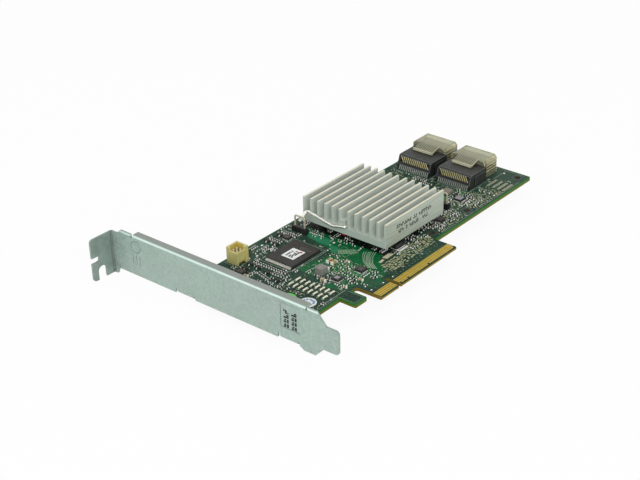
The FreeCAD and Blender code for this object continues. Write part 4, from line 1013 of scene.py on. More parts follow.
class CARD_OT_sink_finish(bpy.types.Operator):
    """Finish the extruded heat sink, with drawing lines along its fins, a painted highlight on the fin tops and painted
    shade on its outer side face
    """

    bl_idname = "card.sink_finish"
    bl_label = "Extruded aluminium"

    def execute(self, context):
        look = context.scene.card_metal
        material, tree, shader = new_material("Extruded aluminium", Metallic=0.15)
        grain, _ = grain_and_patches(tree, 1500.0, 70.0, (0.06, 1.0, 1.0))
        speck, _ = grain_and_patches(tree, 2600.0, 160.0)
        shade = blend(tree, times(tree, grain, 0.35), look.aluminium, shaded(look.aluminium, 0.82))
        shade = wash(tree, shade, speck, 0.15, tint(150, 154, 148))
        x, y, z = object_axes(tree)
        across, sideways, upward = facing(tree)
        # Painted shade: the outer side face that looks towards -Y is made darker than the fins
        side = times(tree, ramp(tree, sideways, -0.7, -0.9), ramp(tree, y, 18.6, 18.5))
        shade = blend(tree, side, shade, blend(tree, grain, tint(182, 192, 176), tint(164, 174, 160)))
        # Painted highlight: the upward faces of the fin tops are made paler
        lit_top = times(tree, ramp(tree, z, 14.0, 14.15), ramp(tree, upward, 0.7, 0.9))
        shade = blend(tree, lit_top, shade, look.aluminium_top_highlight)
        front = times(tree, ramp(tree, across, -0.7, -0.9), ramp(tree, x, 67.9, 67.7))
        shade = wash(tree, shade, front, 0.8, tint(170, 184, 174))
        shade = use_group(tree, "Dust film", surface=shade, amount=0.15).outputs["Colour"]
        finish(tree, shader, shade, (grain, 0.4, 0.55), (grain, 0.25, 0.02))
        dress(["heat_sink"], material)
        return {"FINISHED"}


class CARD_OT_moulding_finish(bpy.types.Operator):
    """Finish the chips, ports, caps, header, clip, screws, labels and stickers"""

    bl_idname = "card.moulding_finish"
    bl_label = "Mouldings and papers"

    def execute(self, context):
        look = context.scene.card_plastic
        for key, names in PLAIN_NODES.items():
            dress(names, MATERIALS[key])
        self.header(look)
        self.clear_caps(look)
        return {"FINISHED"}

    def header(self, look):
        """The header's cream moulding, with painted shade inside its walls, where it is deeper and darker in colour."""
        material, tree, shader = new_material("Header moulding", Subsurface_Weight=0.05)
        grain, patches = grain_and_patches(tree, 2600.0, 350.0)
        shade = blend(tree, times(tree, patches, 0.3), look.cream, shaded(look.cream, 0.8))
        x, y, z = object_axes(tree)
        # Painted shade: the inside of the walls is made darker and yellower
        inside = times(tree, ramp(tree, x, 24.9, 25.1), ramp(tree, x, 30.0, 29.8))
        inside = times(tree, inside, times(tree, ramp(tree, y, 61.7, 61.9), ramp(tree, y, 66.4, 66.2)))
        inside = times(tree, inside, ramp(tree, z, 7.15, 6.9))
        shade = wash(tree, shade, inside, 0.75, tint(196, 170, 66))
        finish(tree, shader, shade, (grain, 0.42, 0.55), (grain, 0.2, 0.01))
        dress(["header_shroud"], material)

    def clear_caps(self, look):
        """The clear moulding of the dust caps: glass-like, tinted, with cloudy flow marks."""
        material, tree, shader = new_material("Clear cap", IOR=1.3, Transmission_Weight=0.62, Specular_IOR_Level=0.5)
        grain, patches = grain_and_patches(tree, 500.0, 120.0)
        shade = blend(tree, times(tree, patches, 0.5), look.cap, shaded(look.cap, 0.85))
        along, _, height = object_axes(tree)
        _, _, upward = facing(tree)
        top = times(tree, ramp(tree, height, 8.5, 8.7), ramp(tree, upward, 0.7, 0.9))
        shade = wash(tree, shade, top, 0.8, tint(188, 190, 164))
        shade = wash(tree, shade, ramp(tree, along, 152.6, 152.4), 0.85, tint(214, 214, 186))
        low_part = times(tree, ramp(tree, height, 6.4, 5.4), ramp(tree, along, 152.4, 152.6))
        shade = wash(tree, shade, low_part, 0.6, tint(150, 150, 108))
        joint = times(tree, ramp(tree, along, 154.8, 153.6), ramp(tree, along, 152.4, 152.6))
        joint = times(tree, joint, ramp(tree, height, 8.6, 8.2))
        shade = wash(tree, shade, joint, 0.6, tint(104, 108, 84))
        finish(tree, shader, shade, (grain, 0.04, 0.1), (patches, 0.05, 0.02))
        dress(["near_dust_cap", "far_dust_cap"], material)


# Shapes of the small parts, each modelled once at the origin


def chip_part(name, size, end, body, soft=0.0):
    """A chip part that lies along X: a ceramic body between two tinned ends that are a little narrower and lower, on
    its pads.
    """
    long, wide, high = size
    piece = block(name, (-long / 2, -wide / 2, 0.03), (long / 2, wide / 2, high))
    choose(piece, lambda middle, normal: True)
    for side in (-1, 1):
        for step in (0.0, 0.04):
            bpy.ops.mesh.select_all(action="SELECT")
            bpy.ops.mesh.bisect(plane_co=(side * (long / 2 - end - step) * MM, 0, 0), plane_no=(1, 0, 0))
    finish_edit()
    choose(piece, lambda middle, normal: abs(middle.x) > long / 2 - end)
    scale_faces(1, 0.92, 0.96, high / 2)
    finish_edit()
    if soft:
        bevel_edges(piece, soft, 1, 60)
    paint(piece, body)
    paint(piece, "tin", lambda middle, normal: abs(middle.x) > long / 2 - end - 0.03)
    pads = []
    for side in (-1, 1):
        low_x, high_x = sorted((side * (long / 2 - end), side * (long / 2 + 0.1)))
        pad = block("pad", (low_x, -wide * 0.5, 0), (high_x, wide * 0.5, 0.05))
        pads.append(paint(narrow_top(pad, 0.9, 0.86, 0), "tin"))
    return join([piece] + pads, name)


def gull_lead(name, width, rise, reach):
    """A bent lead that leaves a body towards +Y, drops and ends in a flat foot."""
    thick = 0.13
    lead = block(name, (-width / 2, -0.15, rise - thick), (width / 2, reach * 0.3, rise))
    choose(lead, lambda middle, normal: normal.y > 0.9)
    extrude(0, reach * 0.25, thick - rise)
    extrude(0, reach * 0.45, 0)
    finish_edit()
    return paint(lead, "tin")


def three_lead_part(name):
    """A small moulded part along X, with two leads on one long side and one on the other."""
    long, wide, high = 2.7, 1.25, 0.95
    body = block(name, (-long / 2, -wide / 2, 0.1), (long / 2, wide / 2, high))
    bevel_edges(narrow_top(body, 0.93, 0.84, high), 0.06, 1)
    paint(body, "epoxy")
    lead = gull_lead("lead", 0.4, high * 0.55, 0.62)
    front = copies(lead, [(0, wide / 2, 0, 0)], "front lead", keep_pattern=True)
    back = copies(lead, [(-0.95, -wide / 2, 0, 180), (0.95, -wide / 2, 0, 180)], "back leads")
    return join([body, front, back], name)


def via(name, radius):
    """A plated hole: a low tinned ring round a dark bore."""
    bore = 0.45
    ring = drum(name, (0, 0, -0.02), radius, 0.045, 8)
    inset_top(ring, radius * (1 - bore))
    paint(ring, "bare_copper")
    return paint(ring, "hole", lambda middle, normal: normal.z > 0.9 and middle.xy.length < radius * 0.2)


def test_pad(name, long, wide):
    """A solder-covered oval pad with a low crown."""
    pad = drum(name, (0, 0, -0.02), 0.5, 0.05, 14)
    inset_top(pad, 0.1, rise=0.07)
    pad.scale = (long, wide, 1)
    settle(name)
    return paint(smooth(pad, 60), "tin")


def beside(route, offset):
    """The same route moved sideways, with its corners kept sharp."""
    moved = []
    count = len(route)
    for i, (x, y) in enumerate(route):
        ahead = Vector(route[min(i + 1, count - 1)]) - Vector(route[min(i, count - 2)])
        behind = Vector(route[max(i, 1)]) - Vector(route[max(i - 1, 0)])
        one = Vector((-ahead.y, ahead.x)).normalized()
        two = Vector((-behind.y, behind.x)).normalized()
        middle = (one + two).normalized()
        reach = offset / max(middle.dot(one), 0.4)
        moved.append((x + middle.x * reach, y + middle.y * reach))
    return moved


def ring_route(middle, radius, sides=24, stretch=1.0, turn=0.0):
    """Points round a circle or an oval, back to the first."""
    points = []
    for i in range(sides + 1):
        angle = 2 * math.pi * i / sides
        x, y = radius * math.cos(angle), radius * stretch * math.sin(angle)
        points.append(
            (middle[0] + x * math.cos(turn) - y * math.sin(turn), middle[1] + x * math.sin(turn) + y * math.cos(turn))
        )
    return points


def frame_route(low_x, low_y, high_x, high_y):
    """Points round a rectangle, back to the first."""
    return [(low_x, low_y), (high_x, low_y), (high_x, high_y), (low_x, high_y), (low_x, low_y)]


def flat_lines(name, routes, width, rise, finish_name):
    """Thin flat lines on the board, sunk a little into its lacquer."""
    piece = strand(name, routes, width / 2, 0, 2 * rise / width)
    return paint(piece, finish_name)


def print_cells(count, dice, gap_odds=0.16):
    """A line of generic print cells: for each, its place in the line and the strokes in it, none of them a letter."""
    patterns = (
        ((0.0, 0.0, 0.42, 1.0), (0.5, 0.55, 0.92, 1.0)),
        ((0.0, 0.0, 0.92, 0.34), (0.46, 0.42, 0.92, 1.0)),
        ((0.0, 0.64, 0.92, 1.0), (0.0, 0.0, 0.42, 0.5), (0.54, 0.16, 0.92, 0.5)),
        ((0.0, 0.0, 0.42, 0.62), (0.5, 0.0, 0.92, 1.0)),
        ((0.0, 0.33, 0.92, 0.67), (0.0, 0.8, 0.42, 1.0), (0.5, 0.0, 0.92, 0.24)),
    )
    return [(i, dice.choice(patterns)) for i in range(count) if dice.random() >= gap_odds]


def strokes_in(cells, start, step, tall, fill):
    """The strokes of print cells: for each, where it starts and ends along the line and over it."""
    return [
        (start + i * step + a * step * fill, b * tall, start + i * step + c * step * fill, d * tall)
        for i, strokes in cells for a, b, c, d in strokes
    ]


def open_ends(piece, margin=0.0):
    """Takes the middle of the two ends of an upright drum away."""
    choose(piece, lambda middle, normal: abs(normal.z) > 0.9)
    if margin:
        inset(margin)
    bpy.ops.mesh.delete(type="FACE")
    finish_edit()
    return piece


class CARD_OT_pours(bpy.types.Operator):
    """Lay the wide copper areas under bright green lacquer, the plain discs round the fixing holes, and a painted
    shadow under the heat sink
    """

    bl_idname = "card.pours"
    bl_label = "Copper pours"

    def execute(self, context):
        rise = 0.016
        areas = {
            "pour_middle": [(68.4, 60.8), (63.4, 57.4), (59.4, 48.0), (59.0, 41.8), (55.6, 37.6), (51.0, 37.4),
                            (46.6, 39.6), (37.6, 40.2), (36.6, 33.2), (41.8, 27.4), (42.4, 21.4), (45.6, 21.0),
                            (46.2, 16.6), (43.6, 13.8), (43.4, 9.0), (44.4, 6.9), (51.0, 6.9), (51.2, 8.6),
                            (56.8, 9.6), (60.6, 14.2), (62.6, 17.8), (66.2, 20.0), (73.2, 20.6), (73.8, 31.0),
                            (70.4, 36.8), (67.4, 44.8), (67.6, 52.4)],
            "pour_driver": [(33.4, 20.8), (35.2, 16.6), (40.2, 14.0), (42.2, 13.6), (43.2, 12.4), (41.8, 16.0),
                            (44.8, 18.8), (44.4, 20.0), (38.4, 19.8), (37.0, 23.2), (33.6, 23.6)],
            "pour_side": [(95.6, 21.4), (98.0, 20.6), (104.6, 21.4), (104.4, 23.6), (96.0, 24.6)],
            "pour_near_ports": [(124.0, 27.4), (133.8, 24.8), (137.6, 24.8), (137.4, 29.6), (130.4, 31.2),
                                (125.0, 31.0)],
            "pour_tail": [(112.4, 55.0), (118.0, 52.0), (121.6, 58.6), (121.0, 64.6), (113.2, 65.2)],
        }
        pieces = [paint(slab(name, corners, SUNK, rise), "pour") for name, corners in areas.items()]
        light_areas = {
            "light_left": [(64.9, 58.0), (66.8, 57.2), (64.9, 45.1), (60.3, 42.4), (60.2, 48.3), (61.0, 54.4)],
            "light_right": [(61.0, 43.0), (61.9, 38.9), (58.7, 36.0), (56.4, 38.0)],
            "light_low": [(52.9, 21.8), (53.2, 17.4), (50.8, 14.6), (48.1, 15.8), (48.5, 19.4)],
        }
        for name, corners in light_areas.items():
            pieces.append(paint(slab(name, corners, SUNK, rise + 0.012), "pour_light"))
        block_area = slab("slanted_area", [(60.0, 37.3), (64.3, 32.0), (62.9, 29.0), (57.5, 35.1)], SUNK, rise + 0.02)
        pieces.append(paint(block_area, "pour_pale"))
        place_on_card(join(pieces, "copper_pours"))
        self.plain_discs(rise)
        self.paint_sink_shadow()
        return {"FINISHED"}

    def paint_sink_shadow(self):
        """A painted shadow round the controller, under the heat sink: near-black sheets where the sink's shade falls.
        """
        low, high = node_box("controller_substrate")
        left, right, near, far = 67.8, 108.5, 19.0, 62.2
        low_x, low_y, high_x, high_y = low.x - 0.05, low.y - 0.05, high.x + 0.05, high.y + 0.05
        fields = []
        for a, b, c, d in (
            (left, near, right, low_y), (left, high_y, right, far),
            (left, low_y, low_x, high_y), (high_x, low_y, right, high_y),
        ):
            fields.append(paint(block("field", (a, b, SUNK), (c, d, 0.02)), "sink_shadow_paint"))
        place_on_card(join(fields, "painted_shadow_field"))

    def plain_discs(self, rise):
        """The bare ring of dark lacquer that is kept free round each hole."""
        discs = []
        for x, y, hole, radius, _ in HOLES[:3]:
            disc = open_ends(drum("disc", (x, y, SUNK), radius, rise - SUNK, 32), radius - (hole + HOLE_GAP) - 0.05)
            discs.append(paint(disc, "plain_mask"))
        place_on_card(join(discs, "hole_clearance_discs"))


class CARD_OT_hole_linings(bpy.types.Operator):
    """Line the fixing holes with their dark drilled wall"""

    bl_idname = "card.hole_linings"
    bl_label = "Hole linings"

    def execute(self, context):
        linings = []
        for x, y, radius, _, _ in HOLES:
            tube = open_ends(drum("lining", (x, y, -1.56), radius - HOLE_GAP, 1.565, 32))
            wall = tube.modifiers.new("Wall", "SOLIDIFY")
            wall.thickness = 0.12 * MM
            wall.offset = -1
            pick(tube)
            bpy.ops.object.modifier_apply(modifier=wall.name)
            linings.append(paint(smooth(tube, 50), "bore"))
        place_on_card(join(linings, "hole_linings"))
        return {"FINISHED"}


class CARD_OT_tracks(bpy.types.Operator):
    """Run the lacquered copper tracks in bundles over the board"""

    bl_idname = "card.tracks"
    bl_label = "Tracks"

    def execute(self, context):
        look = context.scene.card_board
        bundles = (
            ([(16.5, 57.2), (33.0, 57.6), (34.8, 59.4), (47.0, 59.4)], 2, 0.55),
            ([(24.0, 59.6), (32.4, 59.6), (34.4, 61.6), (43.0, 61.6)], 3, 0.5),
            ([(32.0, 67.4), (37.6, 67.4), (41.6, 63.4), (49.4, 63.4)], 5, 0.5),
            ([(52.0, 67.2), (92.0, 67.2)], 3, 0.5),
            ([(60.8, 63.2), (66.0, 58.0), (66.0, 53.6)], 5, 0.5),
            ([(92.0, 66.6), (118.0, 66.6), (123.0, 61.6), (137.6, 61.6)], 6, 0.5),
            ([(110.4, 26.0), (118.4, 26.0), (122.6, 30.2), (137.8, 30.2)], 7, 0.55),
            ([(110.4, 33.6), (120.0, 33.6), (124.4, 38.0), (137.8, 38.0)], 8, 0.55),
            ([(110.4, 42.8), (118.0, 42.8), (121.0, 45.8), (137.8, 45.8)], 8, 0.55),
            ([(110.4, 50.6), (120.0, 50.6), (123.4, 54.0), (137.8, 54.0)], 7, 0.55),
            ([(99.4, 12.2), (113.0, 12.2), (114.6, 13.2), (119.0, 13.2)], 3, 0.5),
            ([(124.4, 12.2), (158.6, 12.2), (159.6, 11.7)], 2, 0.45),
            ([(144.0, 12.9), (144.0, 20.8), (146.6, 23.2), (158.2, 23.2)], 2, 0.45),
            ([(11.6, 24.0), (14.0, 24.0), (19.2, 18.8), (19.2, 14.6), (22.6, 14.6)], 4, 0.55),
            ([(24.4, 14.4), (33.6, 14.4), (36.4, 17.2)], 3, 0.5),
            ([(7.0, 36.0), (14.0, 36.0), (17.6, 32.4), (22.4, 32.4)], 5, 0.55),
            ([(6.2, 47.0), (13.0, 47.0), (16.6, 43.4), (22.4, 43.4)], 5, 0.55),
            ([(33.0, 35.0), (33.0, 28.6), (36.2, 25.4), (36.2, 20.4)], 2, 0.5),
            ([(34.6, 55.8), (34.6, 42.4)], 2, 0.45),
            ([(57.8, 30.2), (52.6, 25.0), (52.6, 19.6), (47.6, 14.6)], 2, 0.5),
            ([(73.0, 14.8), (79.2, 14.8), (82.4, 18.0)], 3, 0.5),
            ([(83.4, 16.6), (90.4, 16.6), (93.6, 19.8)], 2, 0.5),
            ([(59.0, 7.0), (59.0, 13.2), (61.2, 15.4)], 4, 0.55),
            ([(146.0, 44.8), (158.4, 44.8), (165.4, 51.8), (165.4, 66.4)], 3, 0.5),
            ([(112.0, 20.4), (119.0, 20.4), (121.8, 23.2), (125.6, 23.2)], 4, 0.5),
            ([(126.6, 14.6), (138.4, 14.6), (143.8, 20.0), (143.8, 24.2)], 3, 0.5),
        )
        routes = []
        for route, count, pitch in bundles:
            routes += [beside(route, (i - (count - 1) / 2) * pitch) for i in range(count)]
        tracks = flat_lines("tracks", routes, look.track_width / MM, look.track_rise / MM, "track")
        place_on_card(tracks)
        self.pale_bundle()
        dark = [[(44.6 + 0.2 * i, 7.7 + 0.9 * i), (49.0 + 0.7 * i, 7.7 + 0.9 * i)] for i in range(7)]
        dark += [[(51.6, 13.6), (55.0, 13.6)], [(52.4, 12.6), (56.4, 12.6)], [(54.4, 11.4), (57.6, 11.4)]]
        place_on_card(flat_lines("dark_tracks", dark, 0.6, 0.06, "plain_mask"))
        return {"FINISHED"}

    def pale_bundle(self):
        """The thick pale traces that fan out between the clock chip and the heat sink."""
        starts = [(65.4, 27.9), (65.9, 27.1), (66.3, 26.2), (66.7, 25.7), (67.1, 25.2), (67.4, 24.3), (67.9, 23.5)]
        ends = [(55.7, 18.3), (56.0, 17.8), (56.0, 17.1), (56.4, 16.6), (56.7, 16.1), (56.9, 15.6), (57.2, 15.0)]
        routes = []
        for i, (start, end) in enumerate(zip(starts, ends)):
            knee = (start[0] - 2.4 - 0.25 * i, start[1] - 1.2)
            routes.append([start, knee, ((knee[0] + end[0]) / 2 - 0.8, (knee[1] + end[1]) / 2 + 0.5), end])
        place_on_card(flat_lines("pale_traces", routes, 0.27, 0.04, "trace_pale"))


class CARD_OT_legend(bpy.types.Operator):
    """Print the pale outlines and marks of the board's legend"""

    bl_idname = "card.legend"
    bl_label = "Legend"

    def execute(self, context):
        look = context.scene.card_board
        width = look.legend_width / MM
        routes = [frame_route(*corners) for corners in LEGEND_FRAMES] + [
            [(36.0, 40.4), (56.8, 40.4), (57.4, 41.2)], [(24.0, 14.6), (36.4, 14.6)], [(24.0, 35.6), (34.2, 35.6)],
            frame_route(77.5, 9.0, 81.0, 10.6), frame_route(74.6, 13.2, 76.8, 14.8),
            [(124.0, 17.2), (136.4, 17.2)], [(124.0, 16.5), (136.4, 16.5)], [(136.4, 24.0), (136.4, 16.6)],
            [(2.4, 66.8), (20.0, 66.8)], [(98.0, 26.4), (98.0, 20.0), (102.6, 18.0)],
            ring_route((50.9, 26.6), 0.5, 10), ring_route((49.0, 22.6), 0.35, 8),
        ]
        place_on_card(flat_lines("legend_outlines", routes, width, 0.035, "ink_pale"))
        slant = [(59.9, 37.3), (64.3, 32.0), (62.9, 29.0), (57.5, 35.1), (59.9, 37.3)]
        inner = [[(59.2, 36.6), (63.8, 31.0)], [(58.4, 35.9), (63.4, 30.0)]]
        for t in (0.15, 0.3, 0.45, 0.6, 0.75, 0.9):
            inner.append([(59.9 + t * 4.4, 37.3 - t * 5.3), (57.5 + t * 5.4, 35.1 - t * 6.1)])
        place_on_card(flat_lines("legend_slanted", [slant] + inner, 0.2, 0.06, "ink_pale"))
        boxes = []
        for ax, ay, bx, by in (
            (10.4, 13.5, 30.6, 13.5), (30.6, 5.6, 36.2, 5.6), (30.6, 5.6, 30.6, 13.5), (36.2, 5.6, 36.2, 13.5),
            (99.0, 11.8, 160.0, 11.8), (126.0, 12.9, 147.0, 12.9), (155.0, 22.9, 166.0, 22.9),
            (166.3, 13.0, 166.3, 66.0),
        ):
            count = int((abs(bx - ax) + abs(by - ay)) / 0.9)
            for i in range(count):
                x, y = ax + (bx - ax) * i / count, ay + (by - ay) * i / count
                long_x, long_y = (0.55, 0.14) if ay == by else (0.14, 0.55)
                boxes.append(((x, y, PRINT_SUNK), (x + long_x, y + long_y, 0.025)))
        place_on_card(bars("legend_dashes", boxes, "ink_pale"))
        self.marks()
        return {"FINISHED"}

    def marks(self):
        """Short pale strokes in small groups, where a board has its part marks; none of them is a letter."""
        dice = random.Random(23)
        boxes = []
        for _ in range(1500):
            x, y = dice.uniform(4.5, 166.5), dice.uniform(5.5, 67.8)
            count = dice.choice((2, 3, 3, 4))
            along = dice.random() < 0.5
            tall, step = 0.8, 0.62
            long, wide = (count * step, tall) if along else (tall, count * step)
            if not (on_board(x, y, x + long, y + wide) and is_free(x, y, x + long, y + wide)):
                continue
            claim(x, y, x + long, y + wide, 0.05)
            for a, b, c, d in strokes_in(print_cells(count, dice, 0.05), 0.0, step, tall, 0.9):
                low, high = ((x + a, y + b), (x + c, y + d)) if along else ((x + b, y + a), (x + d, y + c))
                boxes.append(((*low, PRINT_SUNK), (*high, 0.02)))
            if len(boxes) > 620:
                break
        place_on_card(bars("legend_marks", boxes, "ink_pale"))


class CARD_OT_large_parts(bpy.types.Operator):
    """Make the tan capacitors and the long cream resistors, in place of the plain packed ones"""

    bl_idname = "card.large_parts"
    bl_label = "Large capacitors and resistors"

    def execute(self, context):
        made = []
        for low_x, low_y, high_x, high_y, high in LARGE_CAPACITORS:
            long, wide = high_x - low_x, high_y - low_y
            turn = 0 if long > wide else 90
            size = (max(long, wide) - 0.1, min(long, wide) - 0.14, high)
            part = chip_part("tan capacitor", size, min(0.36, size[0] * 0.16), "tan", soft=0.07)
            made.append(copies(part, [((low_x + high_x) / 2, (low_y + high_y) / 2, 0, turn)], "tan capacitor"))
        place_on_card(join(made, "tan_capacitors"), ["ceramic_capacitors"])
        self.long_resistors()
        return {"FINISHED"}

    def long_resistors(self):
        """A domed cream bar with its lead grey left end, on two pads, repeated in two columns."""
        long, wide, high = 3.4, 0.9, 0.5
        bar = block("bar", (-long / 2 + 0.1, -wide / 2 + 0.06, 0.05), (long / 2 - 0.1, wide / 2 - 0.06, high))
        bevel_edges(narrow_top(bar, 0.95, 0.72, high), 0.11, 2, 30)
        paint(smooth(bar, 50), "pale")
        # A grey left end on each bar
        paint(bar, "lead_grey", lambda middle, normal: middle.x < -long / 2 + 0.55)
        pads = []
        for low_x, high_x in ((-long / 2, -long / 2 + 0.7), (long / 2 - 0.7, long / 2)):
            pad = block("pad", (low_x, -wide / 2, 0), (high_x, wide / 2, 0.07))
            pads.append(paint(bevel_edges(pad, 0.03, 1), "tin"))
        piece = copies(join([bar] + pads, "bar"), LONG_RESISTORS, "long_resistors")
        place_on_card(piece, ["resistor_packs"])


class CARD_OT_small_parts(bpy.types.Operator):
    """Set down the chip parts and three-lead parts, first where they are seen, then where there is room"""

    bl_idname = "card.small_parts"
    bl_label = "Small parts"

    def execute(self, context):
        look = context.scene.card_parts
        long, wide, high = look.chip_length / MM, look.chip_width / MM, look.chip_height / MM
        cap = look.end_cap / MM
        claim_nodes()
        for low_x, low_y, high_x, high_y, _ in LARGE_CAPACITORS:
            claim(low_x, low_y, high_x, high_y)
        for x, y, _, _ in LONG_RESISTORS:
            claim(x - 1.7, y - 0.45, x + 1.7, y + 0.45)
        three = seat(THREE_LEAD_PARTS, 2.9, 2.5)
        for x, y, a, b in FLAT_PADS:
            claim(x - a / 2, y - b / 2, x + a / 2, y + b / 2, 0.05)
        middle = seat(MIDDLE_CAPACITORS, 2.0, 1.1)
        seen = seat(SEEN_CHIP_PARTS, long + 0.2, wide)
        dice = random.Random(7)
        brown, black = [], []
        for spot in seen:
            (brown if dice.random() < 0.45 else black).append(spot)
        zones = (
            (15.0, 36.6, 35.6, 67.8, 54), (36.0, 57.6, 60.0, 67.8, 22), (62.8, 40.0, 67.0, 60.0, 8),
            (36.0, 14.0, 56.0, 36.6, 34), (5.0, 12.0, 24.4, 50.0, 40), (60.0, 62.0, 110.0, 67.8, 40),
            (66.4, 20.0, 108.0, 60.0, 50), (84.0, 14.6, 118.0, 22.4, 30), (109.4, 22.0, 137.4, 66.8, 70),
            (117.0, 16.4, 137.6, 30.6, 26), (154.0, 26.0, 166.0, 66.0, 14), (72.0, 12.6, 92.0, 17.0, 8),
        )
        for low_x, low_y, high_x, high_y, count in zones:
            for _ in range(count):
                x, y = dice.uniform(low_x, high_x), dice.uniform(low_y, high_y)
                run = dice.choice((1, 1, 2, 3, 4))
                turn = dice.choice((0, 90))
                step = (0.0, wide + 0.5) if turn == 0 else (wide + 0.5, 0.0)
                spots = seat([(x + step[0] * i, y + step[1] * i, turn) for i in range(run)], long + 0.2, wide)
                dice.choice((brown, black, black)).extend(spots)
        brown_part = chip_part("brown capacitor", (long, wide, high), cap, "brown")
        black_part = chip_part("black resistor", (long, wide, high * 0.8), cap, "resistor_black")
        middle_part = chip_part("middle capacitor", (1.7, 0.85, 0.85), 0.42, "tan", soft=0.04)
        place_on_card(copies(brown_part, brown, "small_capacitors"))
        place_on_card(copies(black_part, black, "small_resistors"))
        place_on_card(copies(middle_part, middle, "middle_capacitors"))
        place_on_card(copies(three_lead_part("three lead part"), three, "three_lead_parts"))
        pads = [copies(test_pad("pad", a, b), [(x, y, 0.0, 0)], "pad") for x, y, a, b in FLAT_PADS]
        place_on_card(join(pads, "test_pads"))
        return {"FINISHED"}


class CARD_OT_pad_fields(bpy.types.Operator):
    """Fill the dense fields of olive solder pads by the edge contacts and at the tail"""

    bl_idname = "card.pad_fields"
    bl_label = "Pad fields"

    def execute(self, context):
        dice = random.Random(19)
        boxes = []
        zones = (
            (59.0, 8.6, 71.0, 15.6, 90, (0.8, 1.6), (0.35, 0.6)),
            (71.0, 9.4, 94.0, 17.4, 150, (0.8, 1.8), (0.35, 0.6)),
            (97.0, 12.0, 140.0, 24.4, 260, (0.5, 1.1), (0.22, 0.34)),
            (124.0, 24.0, 137.4, 31.0, 60, (0.5, 1.0), (0.22, 0.34)),
            (110.0, 31.0, 137.0, 66.0, 140, (0.5, 1.1), (0.22, 0.36)),
            (140.0, 12.0, 147.0, 22.0, 40, (0.5, 1.0), (0.22, 0.34)),
            (43.0, 15.0, 58.0, 30.0, 70, (0.5, 1.0), (0.22, 0.34)),
            (12.0, 14.0, 24.0, 36.0, 60, (0.5, 1.0), (0.22, 0.34)),
        )
        for low_x, low_y, high_x, high_y, count, lengths, widths in zones:
            for _ in range(count * 3):
                long, wide = dice.uniform(*lengths), dice.uniform(*widths)
                if dice.random() < 0.4:
                    long, wide = wide, long
                x, y = dice.uniform(low_x, high_x - long), dice.uniform(low_y, high_y - wide)
                if on_board(x, y, x + long, y + wide) and is_free(x, y, x + long, y + wide):
                    claim(x, y, x + long, y + wide, 0.1)
                    boxes.append(((x, y, PRINT_SUNK), (x + long, y + wide, 0.05)))
                    count -= 1
                if count <= 0:
                    break
        place_on_card(bars("olive_pads", boxes, "pad_olive"))
        low, high = node_box("voltage_regulator_tab")
        # Painted shade: near-black lines in the regulator tab's two grooves
        groove_shades = [((low.x + 0.1, low.y + a, high.z - 0.02), (high.x - 0.1, low.y + b, high.z + 0.02))
                   for a, b in ((0.75, 1.15), (1.65, 1.97))]
        place_on_card(bars("tab_groove_shades", groove_shades, "hole"))
        return {"FINISHED"}


class CARD_OT_header_highlight(bpy.types.Operator):
    """Lay a paler line up one corner of the header's walls: a painted highlight"""

    bl_idname = "card.header_rims"
    bl_label = "Header highlight"

    def execute(self, context):
        low, high = node_box("header_shroud")
        corner = (low.x + 0.09, low.y + 0.09)
        rim = strand("header_rims", [[(*corner, 0.4), (*corner, high.z - 0.04)]], 0.1, 1)
        place_on_card(paint(rim, "header_rim_highlight"))
        return {"FINISHED"}


class CARD_OT_vias(bpy.types.Operator):
    """Scatter the plated vias, in grids where they are dense and singly elsewhere"""

    bl_idname = "card.vias"
    bl_label = "Vias"

    def execute(self, context):
        radius = context.scene.card_parts.via_ring / MM
        dice = random.Random(41)
        places = []
        for i in range(17):
            for j in range(6):
                x, y = 57.2 + i * 2.05 + (j % 2) * 0.9, 6.3 + j * 1.35
                if dice.random() < 0.72:
                    places.append((x + dice.uniform(-0.25, 0.25), y + dice.uniform(-0.2, 0.2), 0))
        for i in range(9):
            for j in range(5):
                places.append((59.6 + i * 0.85, 56.2 + j * 0.9, 0))
        for _ in range(900):
            places.append((dice.uniform(5, 166), dice.uniform(6, 67.6), 0))
        kept = seat(places, radius * 2, radius * 2)[:680]
        place_on_card(copies(via("via", radius), kept, "vias"))
        return {"FINISHED"}


def pad_row(start, end, margin, pitch):
    """Evenly spaced places along one side of a chip, centred on it."""
    count = int((end - start - margin) / pitch) + 1
    first = (start + end) / 2 - (count - 1) * pitch / 2
    return [first + i * pitch for i in range(count)]


